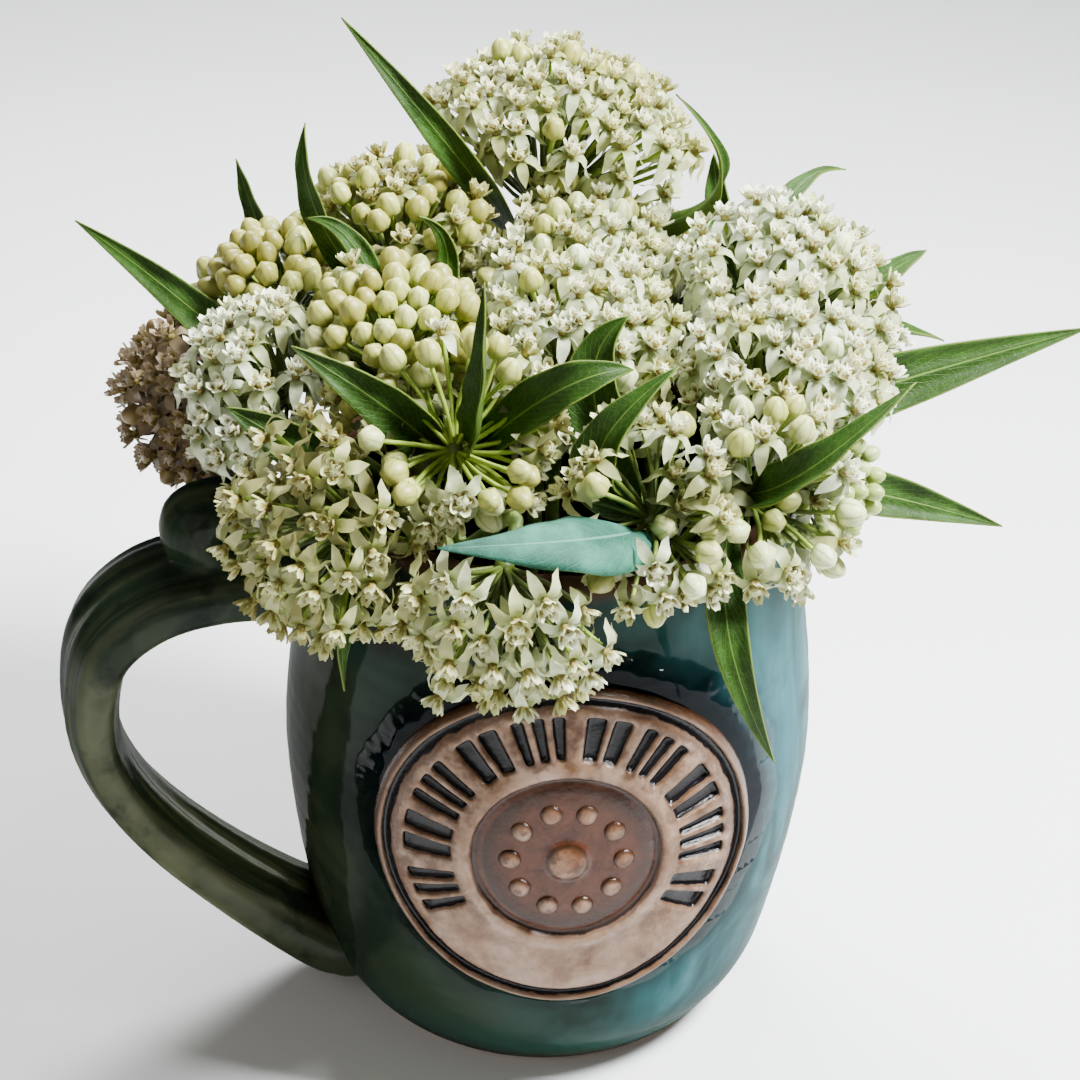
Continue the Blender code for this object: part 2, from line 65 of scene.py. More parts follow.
# camera, light and floor
view = {"aim": (-2.6, 0, 89.1), "distance": 500, "elevation": 30, "roll": 2.5, "lens": 95.5}  # mm and degrees
light = {
    "window": {"place": (300, -60, 520), "size": 150, "watts": 18.5, "colour": (0.95, 0.98, 1), "gloss": 1},
    "back": {"place": (-60, 330, 480), "size": 200, "watts": 6.5, "colour": (0.98, 0.99, 1), "gloss": 1},
    "fill": {"place": (-300, -420, 330), "size": 420, "watts": 0.85, "colour": (1, 0.95, 0.85), "gloss": 0},
    "sky": 0.14, "skyColour": (0.95, 0.97, 1.0, 1), "aim": (0, 0, 90),
}


def makeCamera():
    data = bpy.data.cameras.new("camera")
    data.lens = view["lens"]
    camera = bpy.data.objects.new("camera", data)
    bpy.context.scene.collection.objects.link(camera)
    turn = Matrix.Rotation(math.radians(90 - view["elevation"]), 4, "X")
    turn @= Matrix.Rotation(math.radians(view["roll"]), 4, "Z")
    back = Matrix.Translation((0, 0, view["distance"] * mm))
    camera.matrix_world = Matrix.Translation(Vector(view["aim"]) * mm) @ turn @ back
    bpy.context.scene.camera = camera


def makeLights():
    for name in ("window", "back", "fill"):
        kind = light[name]
        data = bpy.data.lights.new(name, "AREA")
        data.size = kind["size"] * mm
        data.energy = kind["watts"]
        data.color = kind["colour"]
        data.specular_factor = kind["gloss"]
        lamp = bpy.data.objects.new(name, data)
        lamp.location = Vector(kind["place"]) * mm
        toward = Vector(light["aim"]) * mm - lamp.location
        lamp.rotation_euler = toward.to_track_quat("-Z", "Y").to_euler()
        bpy.context.scene.collection.objects.link(lamp)
    world = bpy.data.worlds.new("sky")
    world.use_nodes = True
    backdrop = world.node_tree.nodes["Background"]
    backdrop.inputs["Color"].default_value = light["skyColour"]
    backdrop.inputs["Strength"].default_value = light["sky"]
    bpy.context.scene.world = world


# small helpers for node trees

def addNode(tree, kind, inputs=None, **settings):
    node = tree.nodes.new("ShaderNode" + kind)
    for name, value in settings.items():
        setattr(node, name, value)
    for key, value in (inputs or {}).items():
        if isinstance(value, bpy.types.NodeSocket):
            tree.links.new(value, node.inputs[key])
        else:
            node.inputs[key].default_value = value
    return node


def newMaterial(name, **sockets):
    made = bpy.data.materials.new(name)
    made.use_nodes = True
    shader = made.node_tree.nodes["Principled BSDF"]
    for key, value in sockets.items():
        shader.inputs[key.replace("_", " ")].default_value = value
    return made, made.node_tree, shader


def objectPlace(tree, move=(0, 0, 0), turn=(0, 0, 0), scale=(1, 1, 1)):
    # Object coordinates in millimetres, then moved, turned and stretched
    place = addNode(tree, "TexCoord").outputs["Object"]
    place = addNode(tree, "VectorMath", {0: place, "Scale": 1000}, operation="SCALE").outputs[0]
    place = addNode(tree, "VectorMath", {0: place, 1: move}, operation="SUBTRACT").outputs[0]
    turned = {"Vector": place, "Rotation": turn}
    place = addNode(tree, "VectorRotate", turned, rotation_type="EULER_XYZ").outputs[0]
    return addNode(tree, "VectorMath", {0: place, 1: scale}, operation="MULTIPLY").outputs[0]


def speckle(tree, place, scale, detail=3.0, rough=0.55, distortion=0.0):
    inputs = {"Vector": place, "Scale": scale, "Detail": detail, "Roughness": rough, "Distortion": distortion}
    return addNode(tree, "TexNoise", inputs).outputs["Fac"]


def mathNode(tree, operation, a, b=0.0, clamp=False):
    return addNode(tree, "Math", {0: a, 1: b}, operation=operation, use_clamp=clamp).outputs[0]


def plus(tree, a, b):
    return mathNode(tree, "ADD", a, b)


def minus(tree, a, b):
    return mathNode(tree, "SUBTRACT", a, b)


def times(tree, a, b):
    return mathNode(tree, "MULTIPLY", a, b)


def larger(tree, a, b):
    return mathNode(tree, "MAXIMUM", a, b)


def unsigned(tree, a):
    return mathNode(tree, "ABSOLUTE", a)


def remap(tree, value, low, high, toLow=0.0, toHigh=1.0, smooth=True):
    inputs = {"Value": value, "From Min": low, "From Max": high, "To Min": toLow, "To Max": toHigh}
    kind = "SMOOTHSTEP" if smooth else "LINEAR"
    return addNode(tree, "MapRange", inputs, interpolation_type=kind).outputs[0]


def blendColour(tree, share, a, b, mode="MIX"):
    a, b = ((*c, 1) if isinstance(c, tuple) else c for c in (a, b))
    return addNode(tree, "Mix", {0: share, 6: a, 7: b}, data_type="RGBA", blend_type=mode).outputs[2]


def dimmed(colour, share):
    return tuple(c * share for c in colour)


def colourShader(tree, shader, colour):
    tree.links.new(colour, shader.inputs["Base Color"])


def thinGlow(tree, shader, colour, share):
    # a thin leaf or petal lets some light through
    glow = addNode(tree, "BsdfTranslucent", {"Color": colour})
    joined = addNode(tree, "MixShader", {0: share, 1: shader.outputs[0], 2: glow.outputs[0]})
    tree.links.new(joined.outputs[0], tree.nodes["Material Output"].inputs["Surface"])


def ramp(tree, value, stops):
    node = addNode(tree, "ValToRGB", {"Fac": value})
    band = node.color_ramp
    band.elements[0].position, band.elements[0].color = stops[0][0], (*stops[0][1], 1)
    band.elements[1].position, band.elements[1].color = stops[-1][0], (*stops[-1][1], 1)
    for position, colour in stops[1:-1]:
        band.elements.new(position).color = (*colour, 1)
    return node.outputs["Color"]


def bumpOn(tree, shader, height, distance, strength=1.0):
    node = addNode(tree, "Bump", {"Height": height, "Strength": strength, "Distance": distance * mm})
    tree.links.new(node.outputs["Normal"], shader.inputs["Normal"])
    tree.links.new(node.outputs["Normal"], shader.inputs["Coat Normal"])


def distanceTo(tree, place, centre):
    return addNode(tree, "VectorMath", {0: place, 1: centre}, operation="DISTANCE").outputs["Value"]


def near(tree, place, centre, inner, outer):
    # 1 within `inner` mm of a point, fading to 0 at `outer`
    return remap(tree, distanceTo(tree, place, centre), inner, outer, 1.0, 0.0)


# small helpers for meshes

def addPiece(name, shape, materials, node=None, slot=None):
    mesh = bpy.data.meshes.new(name)
    shape.to_mesh(mesh)
    shape.free()
    piece = bpy.data.objects.new(name, mesh)
    bpy.context.scene.collection.objects.link(piece)
    for material in materials:
        mesh.materials.append(material)
    mesh.shade_smooth()
    if node:
        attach(piece, "root")
        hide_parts(node)
    return piece


def mergedCopy(node):
    shape = bmesh.new()
    shape.from_mesh(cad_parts[node].data)
    bmesh.ops.remove_doubles(shape, verts=shape.verts, dist=0.01 * mm)
    return shape


def smoothPath(points, steps):
    # a curve through every point, with `steps` to a span
    points = [Vector(p) for p in points]
    path = []
    for i in range(len(points) - 1):
        before = points[i - 1] if i else points[0] * 2 - points[1]
        after = points[i + 2] if i + 2 < len(points) else points[-1] * 2 - points[-2]
        for k in range(steps):
            t = k / steps
            slopeIn, slopeOut = (points[i + 1] - before) / 2, (after - points[i]) / 2
            path.append(points[i] * (2 * t**3 - 3 * t**2 + 1) + slopeIn * (t**3 - 2 * t**2 + t)
                        + points[i + 1] * (3 * t**2 - 2 * t**3) + slopeOut * (t**3 - t**2))
    return path + [points[-1]]


def spunShape(outline, steps):
    # a closed turned form from (radius, height) in mm, axis to axis
    shape = bmesh.new()
    verts = [shape.verts.new((r * mm, 0, z * mm)) for r, z in outline]
    edges = [shape.edges.new(pair) for pair in zip(verts, verts[1:])]
    bmesh.ops.spin(shape, geom=verts + edges, cent=(0, 0, 0), axis=(0, 0, 1), angle=math.tau, steps=steps,
                   use_merge=True)
    bmesh.ops.remove_doubles(shape, verts=shape.verts, dist=0.005 * mm)
    bmesh.ops.recalc_face_normals(shape, faces=shape.faces)
    return shape


# the mug's body
mug = {
    "wall": [(31.5, 0), (34.0, 1.6), (37.4, 6), (41.0, 13), (43.7, 25), (45.9, 39), (47.0, 53), (46.2, 67),
             (44.4, 80), (42.6, 92), (41.5, 102)],
    "height": 106, "thickness": 4.4, "floor": 7, "ring": 5.2, "ringDepth": 0.03,
}
wallCurve = smoothPath([(r, z, 0) for r, z in mug["wall"]], 8)


def wallRadius(height):
    for low, high in zip(wallCurve, wallCurve[1:]):
        if low.y <= height <= high.y:
            return low.x + (high.x - low.x) * (height - low.y) / (high.y - low.y)
    return wallCurve[0].x if height < 0 else wallCurve[-1].x


def makeMugBody():
    # throwing rings are pressed a little into both sides of the wall
    def ringed(point, phase):
        turn = math.tau * point.y / mug["ring"] + phase + math.sin(point.y * 0.31)
        return mug["ringDepth"] * (1 + math.sin(turn))
    outer = [(p.x - ringed(p, 0) * min(1, p.y / 8), p.y) for p in wallCurve]
    inner = [(p.x - mug["thickness"] - ringed(p, 2), p.y) for p in wallCurve if p.y > mug["floor"] + 5]
    lipOut, lipIn, top = outer[-1][0], inner[-1][0], mug["height"]
    middle, half = (lipOut + lipIn) / 2, (lipOut - lipIn) / 2
    lip = []
    for i in range(1, 12):
        angle = math.pi * i / 12
        lip.append((middle - half * math.cos(angle) * 0.98, top - 3.4 + 3.4 * math.sin(angle) ** 0.8))
    low = mug["floor"]
    floor = [(0, low), (16, low + 0.1), (30, low + 0.3), (inner[0][0] - 2.2, low + 1.8)]
    foot = [(31.2, 0.0), (30, 0.0), (15, 0.0), (0, 0.0)]
    shape = spunShape(floor + inner + lip + outer[::-1] + foot, 160)
    for vert in shape.verts:  # thrown by hand, so the wall and the lip waver a little
        waver = 1 + noise.noise(Vector((vert.co.x, vert.co.y, 0)) * 30)
        vert.co.z -= max(0, vert.co.z - 0.09) * 0.05 * waver
    return addPiece("mug_body_thrown", shape, [glazeMaterial(), rawClayMaterial()], "mug_body", "glaze")


# olive is partly painted shade on the mug's left, and pale is painted light on its right
glaze = {
    "deep": (0.003, 0.008, 0.005), "teal": (0.009, 0.028, 0.021), "blue": (0.013, 0.066, 0.070),
    "pale": (0.048, 0.135, 0.150), "olive": (0.016, 0.019, 0.009), "brown": (0.007, 0.003, 0.001),
    "pool": (0.0008, 0.0025, 0.004), "lip": (0.06, 0.03, 0.018),
}


def glazeColour(tree, place, side, height):
    # darker olive on the left is partly the glaze's colour and partly painted shade, teal in front, and pale
    # on the right is painted light, with long soft drips
    drips = speckle(tree, objectPlace(tree, scale=(1, 1, 0.22)), 0.10, 4.0, 0.5, 0.6)
    cloud = speckle(tree, place, 0.045, 3.0, 0.55, 0.8)
    # the band runs from the mug's shaded left to its lit right, so it paints shade and light into the glaze
    across = plus(tree, side, times(tree, minus(tree, drips, 0.5), 40))
    band = ramp(tree, remap(tree, across, -48, 48, smooth=False), [
        (0.0, glaze["olive"]), (0.38, (0.015, 0.025, 0.015)), (0.56, glaze["teal"]), (0.72, glaze["blue"]),
        (0.85, glaze["pale"]), (0.94, (0.028, 0.105, 0.12)), (1.0, (0.014, 0.056, 0.058))])
    band = blendColour(tree, remap(tree, cloud, 0.42, 0.68, 0.0, 0.7), band, glaze["deep"])
    # the glaze turns teal and darker near the foot and up under the rim
    low = remap(tree, plus(tree, height, times(tree, drips, 10)), 24, 8, 0.0, 0.85)
    high = remap(tree, plus(tree, height, times(tree, drips, 18)), 78, 104, 0.0, 0.7)
    return blendColour(tree, larger(tree, low, high), band, glaze["teal"])


def glazeMaterial():
    made, tree, shader = newMaterial("glaze", Specular_IOR_Level=0.0, Coat_Weight=0.14, Coat_Roughness=0.04)
    place = objectPlace(tree)
    parts = addNode(tree, "SeparateXYZ", {0: place})
    colour = glazeColour(tree, place, parts.outputs["X"], parts.outputs["Z"])
    # the glaze pools thick and dark round the medallion, most of all above and to its right
    flat = addNode(tree, "SeparateXYZ", {0: objectPlace(tree, move=(0, 0, medallion["height"]),
                                                        turn=(0, 0, -medallion["turn"]))})
    ring = addNode(tree, "CombineXYZ", {"X": flat.outputs["X"], "Y": flat.outputs["Z"], "Z": 0.0})
    wobble = times(tree, speckle(tree, place, 0.12, 2.0), 7)
    gap = distanceTo(tree, ring.outputs[0], (1.5, 1.5, 0))
    pool = remap(tree, minus(tree, gap, wobble), medallion["radius"] - 4, medallion["radius"] + 6, 1.0, 0.0)
    front = remap(tree, flat.outputs["Y"], -20, -28)
    colour = blendColour(tree, times(tree, pool, front), colour, glaze["pool"])
    # iron spots high on the left and where the handle joins
    rough = addNode(tree, "VectorMath", {0: place, 1: addNode(tree, "VectorMath", {
        0: addNode(tree, "TexNoise", {"Vector": place, "Scale": 0.1}).outputs["Color"], "Scale": 12},
        operation="SCALE").outputs[0]}, operation="ADD").outputs[0]
    for centre, inner, outer in [((-24, -32, 92), 2, 13), ((-34, -22, 78), 1, 9), ((-38, -10, 18), 3, 15),
                                 ((36, 14, 90), 1, 8)]:
        iron = near(tree, rough, tuple(c + 6 for c in centre), inner, outer)
        colour = blendColour(tree, times(tree, iron, 0.9), colour, glaze["brown"])
    # it breaks brown over the lip, and thins out just above the foot
    edge = plus(tree, parts.outputs["Z"], times(tree, speckle(tree, place, 0.2), 2.5))
    lip = remap(tree, edge, mug["height"] - 4.0, mug["height"] - 1.2)
    colour = blendColour(tree, lip, colour, glaze["lip"])
    colour = blendColour(tree, remap(tree, edge, 7.5, 2.5), colour, (0.020, 0.015, 0.010))
    colourShader(tree, shader, colour)
    fine = speckle(tree, place, 0.55, 4.0, 0.6)
    broad = speckle(tree, place, 0.07, 2.0)
    rings = addNode(tree, "TexWave", {"Vector": place, "Scale": 0.09, "Distortion": 1.5, "Detail": 1.0},
                    bands_direction="Z").outputs["Fac"]
    height = plus(tree, times(tree, fine, 0.06), times(tree, broad, 1.0))
    bead = remap(tree, minus(tree, gap, times(tree, wobble, 0.6)), medallion["radius"] + 2.5,
                 medallion["radius"] - 1.5)
    height = plus(tree, height, times(tree, times(tree, bead, front), 9.0))
    bumpOn(tree, shader, plus(tree, height, times(tree, rings, 0.04)), 0.8, 0.6)
    return made


def rawClayMaterial():
    made, tree, shader = newMaterial("raw_clay", Roughness=0.85)
    place = objectPlace(tree)
    grain = speckle(tree, place, 1.6, 5.0, 0.7)
    colourShader(tree, shader, ramp(tree, grain, [(0.3, (0.26, 0.17, 0.11)), (0.7, (0.42, 0.30, 0.21))]))
    bumpOn(tree, shader, grain, 0.15)
    return made


def glazeFoot(piece):
    # the flat underside stays bare clay
    for face in piece.data.polygons:
        if face.center.z < 0.8 * mm:
            face.material_index = 1


# the pressed clay medallion
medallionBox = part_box("mug_medallion")
medallion = {
    "radius": (medallionBox[1][2] - medallionBox[0][2]) / 2 / mm,
    "height": (medallionBox[1][2] + medallionBox[0][2]) / 2 / mm,
    "turn": math.radians(5), "back": 0.42, "steps": 144,
    # (share of the radius, how proud) out from the middle: boss, field, inner ring, band, groove, border
    "relief": [(0.0, 2.9), (0.05, 2.85), (0.09, 2.55), (0.12, 1.75), (0.14, 1.6), (0.2, 1.75),
               (0.3, 1.8), (0.36, 1.8), (0.42, 1.75), (0.455, 1.6), (0.475, 1.35), (0.49, 1.35),
               (0.505, 2.2), (0.52, 2.7), (0.55, 2.8), (0.575, 2.55), (0.6, 2.45), (0.63, 2.5),
               (0.68, 2.5), (0.73, 2.5), (0.78, 2.5), (0.82, 2.5), (0.85, 2.5), (0.885, 2.4),
               (0.905, 2.1), (0.918, 1.4), (0.934, 1.25), (0.95, 1.4), (0.962, 2.5), (0.975, 2.7),
               (0.99, 2.35), (1.0, 1.5), (1.0, 0.5)],
    "stampFrom": -35, "stampGap": 25, "stamps": 10, "stampBand": (0.60, 0.84), "stampDepth": 1.3,
    "stampMarks": [(1, 2, 3, 5, 6, 7), (1, 2, 4, 5, 7, 8)],
    "dots": 10, "dotRing": 0.30, "dotSize": 2.1,
}


def pressStamps(shape):
    # plain notches, each a sunk wedge with a bar left standing in it
    low, high = (share * medallion["radius"] * mm for share in medallion["stampBand"])
    sunk = []
    for face in shape.faces:
        centre = face.calc_center_median()
        angle = (math.degrees(math.atan2(centre.y, centre.x)) - medallion["stampFrom"]) % 360
        which, within = divmod(angle, medallion["stampGap"])
        marks = medallion["stampMarks"][int(which) % 2]
        marked = int(10 * within / medallion["stampGap"]) in marks and which < medallion["stamps"]
        if marked and low < math.hypot(centre.x, centre.y) < high:
            sunk.append(face)
    bmesh.ops.inset_region(shape, faces=sunk, thickness=0.2 * mm, use_even_offset=True)
    for vert in {v for face in sunk for v in face.verts}:
        vert.co.z -= medallion["stampDepth"] * mm


def raiseDots(shape):
    for i in range(medallion["dots"]):
        angle = math.tau * i / medallion["dots"]
        ring = medallion["dotRing"] * medallion["radius"]
        spot = Matrix.Translation(Vector((ring * math.cos(angle), ring * math.sin(angle), 1.75)) * mm)
        bmesh.ops.create_uvsphere(shape, u_segments=10, v_segments=6, radius=medallion["dotSize"] * mm,
                                  matrix=spot @ Matrix.Diagonal((1, 1, 0.5, 1)))


def makeMedallion():
    relief = smoothPath([(r * medallion["radius"], h, 0) for r, h in medallion["relief"]], 1)
    back = [(medallion["radius"] * share, medallion["back"])
            for share in (0.97, 0.9, 0.8, 0.7, 0.6, 0.5, 0.4, 0.3, 0.2, 0.1, 0.0)]
    shape = spunShape([(p.x, p.y) for p in relief] + back, medallion["steps"])
    pressStamps(shape)
    raiseDots(shape)
    depth = shape.verts.layers.float.new("relief")
    turn = Matrix.Rotation(medallion["turn"], 4, "Z")
    for vert in shape.verts:
        u, v, h = vert.co / mm
        vert[depth] = h
        wobble = noise.noise(Vector((u, v, 0)) * 0.11)
        h += 0.1 * noise.noise(Vector((u, v, 5)) * 0.35) * min(1, h)
        u, v = u * (1 + 0.008 * wobble), v * (1 + 0.008 * noise.noise(Vector((v, u, 3)) * 0.11))
        height = medallion["height"] + v
        radius = wallRadius(height) + h
        vert.co = turn @ Vector((u, -math.sqrt(radius**2 - u**2), height)) * mm
    bmesh.ops.recalc_face_normals(shape, faces=shape.faces)
    piece = addPiece("medallion_pressed", shape, [pressedClayMaterial()], "mug_medallion", "pressed_clay")
    soften = piece.modifiers.new("Soften", "SUBSURF")
    soften.levels = soften.render_levels = 1
    return piece


def pressedClayMaterial():
    made, tree, shader = newMaterial("pressed_clay", Specular_IOR_Level=0.1, Coat_Weight=0.25,
                                     Coat_Roughness=0.08)
    place = objectPlace(tree)
    cloud = speckle(tree, place, 0.13, 4.0, 0.6, 0.4)
    clay = ramp(tree, cloud, [
        (0.30, (0.11, 0.050, 0.022)), (0.48, (0.22, 0.13, 0.078)), (0.7, (0.33, 0.225, 0.165))])
    flat = addNode(tree, "SeparateXYZ", {0: objectPlace(tree, move=(0, 0, medallion["height"]),
                                                        turn=(0, 0, -medallion["turn"]))})
    ring = addNode(tree, "CombineXYZ", {"X": flat.outputs["X"], "Y": flat.outputs["Z"], "Z": 0.0})
    reach = addNode(tree, "VectorMath", {0: ring.outputs[0]}, operation="LENGTH").outputs["Value"]
    relief = addNode(tree, "Attribute", attribute_name="relief").outputs["Fac"]
    warm = remap(tree, plus(tree, reach, times(tree, cloud, 4)), 20, 15)
    field = times(tree, warm, remap(tree, relief, 2.4, 2.0, 0.15, 0.9))
    clay = blendColour(tree, field, clay, (0.27, 0.072, 0.020))
    smear = speckle(tree, place, 0.35, 4.0, 0.6)
    patch = times(tree, warm, remap(tree, smear, 0.46, 0.62, 0.0, 0.75))
    clay = blendColour(tree, patch, clay, (0.045, 0.016, 0.006))
    depth = plus(tree, relief, times(tree, minus(tree, smear, 0.5), 1.6))
    band = remap(tree, reach, 14.5, 16.5)
    stain = times(tree, remap(tree, depth, 2.25, 1.65), remap(tree, band, 0, 1, 0.75, 1.0))
    colour = blendColour(tree, stain, clay, (0.006, 0.005, 0.006))
    halo = times(tree, remap(tree, depth, 2.75, 2.25), remap(tree, flat.outputs["Z"], -22, -8, 0.25, 0.75))
    halo = mathNode(tree, "SUBTRACT", halo, stain, clamp=True)
    colour = blendColour(tree, halo, colour, (0.045, 0.018, 0.008))
    # the stain gathers round the dots and towards the ring
    gather = times(tree, remap(tree, relief, 1.78, 1.9), remap(tree, relief, 2.6, 2.1))
    gather = larger(tree, gather, remap(tree, plus(tree, reach, times(tree, cloud, 3)), 10.5, 15.5))
    gather = times(tree, gather, remap(tree, reach, 14.5, 13.8))
    colour = blendColour(tree, times(tree, gather, 0.85), colour, (0.022, 0.009, 0.004))
    rim = remap(tree, plus(tree, reach, smear), medallion["radius"] - 1.2, medallion["radius"] + 0.4)
    colour = blendColour(tree, times(tree, rim, 0.85), colour, (0.045, 0.018, 0.007))
    colourShader(tree, shader, colour)
    tree.links.new(remap(tree, stain, 0, 1, 0.34, 0.10), shader.inputs["Roughness"])
    grit = speckle(tree, place, 1.1, 5.0, 0.65)
    bumpOn(tree, shader, plus(tree, grit, smear), 0.16, 0.8)
    return made


# the handle
handle = {
    # (distance from the mug's axis, height, size of the section)
    "line": [(40.5, 85, 1.2), (48, 87.2, 1.25), (59, 88.4, 1.3), (70.5, 86.2, 1.33), (79, 79, 1.28),
             (81.6, 68, 1.18), (80.8, 58, 1.13), (76.7, 48, 1.13), (69.4, 37.8, 1.16), (59.4, 27.4, 1.22),
             (49.5, 18.6, 1.32), (42, 13.0, 1.4), (37, 11.4, 1.42)],
    "turn": math.radians(15), "width": 18.5, "thickness": 8.6, "ribs": 3, "ribDepth": 0.8,
    "pad": {"centre": (53, 97), "size": (32, 16.5, 17), "lean": 8, "dish": 5.5},
    "joint": {"centre": (37, 11.5), "size": (17, 26, 17)},
    "grain": 0.75, "smoothing": 9,
}


def strapShape():
    # the clay strap, pulled lengthwise so that ribs run along it
    line = smoothPath([(-x, size, z) for x, z, size in handle["line"]], 5)
    sizes = [point.y for point in line]
    line = [Vector((point.x, 0, point.z)) for point in line]
    shape = bmesh.new()
    ring = bmesh.ops.create_circle(shape, segments=40, radius=1)["verts"]
    edges = list({e for v in ring for e in v.link_edges})
    for i, centre in enumerate(line):
        if i:
            grown = bmesh.ops.extrude_edge_only(shape, edges=edges)["geom"]
            ring = [item for item in grown if isinstance(item, bmesh.types.BMVert)]
            edges = [item for item in grown if isinstance(item, bmesh.types.BMEdge)]
            edges = [e for e in edges if all(v in ring for v in e.verts)]
        run = (line[min(i + 1, len(line) - 1)] - line[max(i - 1, 0)]).normalized()
        out = run.cross(Vector((0, 1, 0))).normalized()
        for k, vert in enumerate(ring):
            angle = math.tau * k / len(ring)
            across, through = math.cos(angle), math.sin(angle)
            square = (abs(across) ** 3 + abs(through) ** 3) ** (-1 / 3)
            across, through = across * square, through * square
            rib = 0.5 - 0.5 * math.cos(math.tau * (across * handle["ribs"] / 2 + 0.5))
            through *= 1 - rib * handle["ribDepth"] * 2 / handle["thickness"]
            spot = Vector((0, across * handle["width"], 0)) + out * through * handle["thickness"]
            vert.co = (centre + spot * sizes[i] / 2) * mm
    bmesh.ops.holes_fill(shape, edges=[e for e in shape.edges if e.is_boundary], sides=0)
    bmesh.ops.recalc_face_normals(shape, faces=shape.faces)
    return shape


def addThumbPad(shape):
    pad = handle["pad"]
    made = bmesh.ops.create_uvsphere(shape, u_segments=40, v_segments=24, radius=0.5)["verts"]
    for vert in made:
        # squarer than a ball, with a hollow for the thumb pressed into its front
        vert.co = Vector([math.copysign(abs(2 * c) ** 0.8, c) / 2 for c in vert.co])
        spot = vert.co * 2
        hollow = 1 - ((spot.x - 0.05) ** 2 + (spot.z - 0.05) ** 2 * 1.8) / 0.5
        vert.co = Vector([c * s for c, s in zip(vert.co, pad["size"])])
        if spot.y < 0 < hollow:
            vert.co.y += pad["dish"] * hollow**1.5
    lean = Matrix.Rotation(math.radians(pad["lean"]), 3, "Y")
    bmesh.ops.rotate(shape, verts=made, cent=(0, 0, 0), matrix=lean)
    bmesh.ops.scale(shape, verts=made, vec=(mm, mm, mm))
    bmesh.ops.translate(shape, verts=made, vec=Vector((-pad["centre"][0], 0, pad["centre"][1])) * mm)


def addJoint(shape):
    # the clay is thumbed out where the strap meets the wall near the foot
    joint = handle["joint"]
    place = Matrix.Translation(Vector((-joint["centre"][0], 0, joint["centre"][1])) * mm)
    size = Matrix.Diagonal((*joint["size"], 1))
    bmesh.ops.create_uvsphere(shape, u_segments=32, v_segments=20, radius=0.5 * mm, matrix=place @ size)


def makeHandle():
    shape = strapShape()
    addThumbPad(shape)
    addJoint(shape)
    bmesh.ops.rotate(shape, verts=shape.verts, cent=(0, 0, 0), matrix=Matrix.Rotation(handle["turn"], 3, "Z"))
    piece = addPiece("mug_handle_pulled", shape, [handleGlazeMaterial()], "mug_handle", "glaze")
    weld = piece.modifiers.new("Weld clay", "REMESH")
    weld.mode = "VOXEL"
    weld.voxel_size = handle["grain"] * mm
    bpy.context.view_layer.update()
    mesh = bpy.data.meshes.new_from_object(piece.evaluated_get(bpy.context.evaluated_depsgraph_get()))
    piece.modifiers.clear()
    shape = bmesh.new()
    shape.from_mesh(mesh)
    for _ in range(handle["smoothing"]):
        bmesh.ops.smooth_vert(shape, verts=shape.verts, factor=0.5, use_axis_x=True, use_axis_y=True,
                              use_axis_z=True)
    shape.to_mesh(piece.data)
    shape.free()
    piece.data.shade_smooth()
    return piece


def handleGlazeMaterial():
    made, tree, shader = newMaterial("handle_glaze", Specular_IOR_Level=0.0, Coat_Weight=0.12,
                                     Coat_Roughness=0.14)
    place = objectPlace(tree)
    turned = objectPlace(tree, turn=(0, 0, -handle["turn"]))
    parts = addNode(tree, "SeparateXYZ", {0: turned})
    drift = speckle(tree, place, 0.06, 3.0, 0.5, 0.5)
    drawn = addNode(tree, "VectorMath", {0: turned, 1: (0.05, 0.9, 0.05)}, operation="MULTIPLY").outputs[0]
    streaks = speckle(tree, drawn, 0.6, 3.0)
    across = plus(tree, parts.outputs["Y"], times(tree, minus(tree, drift, 0.5), 5))
    # pale bands run along the strap, partly the glaze breaking pale over the ribs and edges and partly
    # painted highlight, and it runs dark between them
    band = ramp(tree, remap(tree, across, -12, 12, smooth=False), [
        (0.0, (0.022, 0.028, 0.015)), (0.06, (0.085, 0.090, 0.052)), (0.14, (0.012, 0.018, 0.008)),
        (0.34, (0.016, 0.024, 0.009)), (0.46, (0.045, 0.052, 0.020)), (0.58, (0.010, 0.015, 0.007)),
        (0.8, (0.020, 0.028, 0.012)), (1.0, (0.05, 0.062, 0.035))])
    band = blendColour(tree, remap(tree, streaks, 0.46, 0.72, 0.0, 0.75), band, (0.060, 0.066, 0.030))
    band = blendColour(tree, remap(tree, streaks, 0.46, 0.28, 0.0, 0.7), band, (0.006, 0.010, 0.005))
    cool = remap(tree, parts.outputs["Z"], 50, 96)
    colour = blendColour(tree, times(tree, cool, 0.5), band, (0.006, 0.016, 0.013))
    dark = speckle(tree, place, 0.10, 4.0, 0.6)
    colour = blendColour(tree, remap(tree, dark, 0.52, 0.72, 0.0, 0.8), colour, (0.004, 0.006, 0.004))
    for centre, inner, outer in [((-44, -12, 11), 3, 12), ((-58, -18, 96), 0, 6)]:
        iron = near(tree, place, centre, inner, outer)
        colour = blendColour(tree, times(tree, iron, 0.9), colour, glaze["brown"])
    colourShader(tree, shader, colour)
    fine = speckle(tree, place, 0.5, 4.0, 0.6)
    bumpOn(tree, shader, plus(tree, times(tree, fine, 0.12), drift), 0.7, 0.5)
    return made


# stems
stem = {"nodes": sorted(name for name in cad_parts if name.startswith("stem_"))}


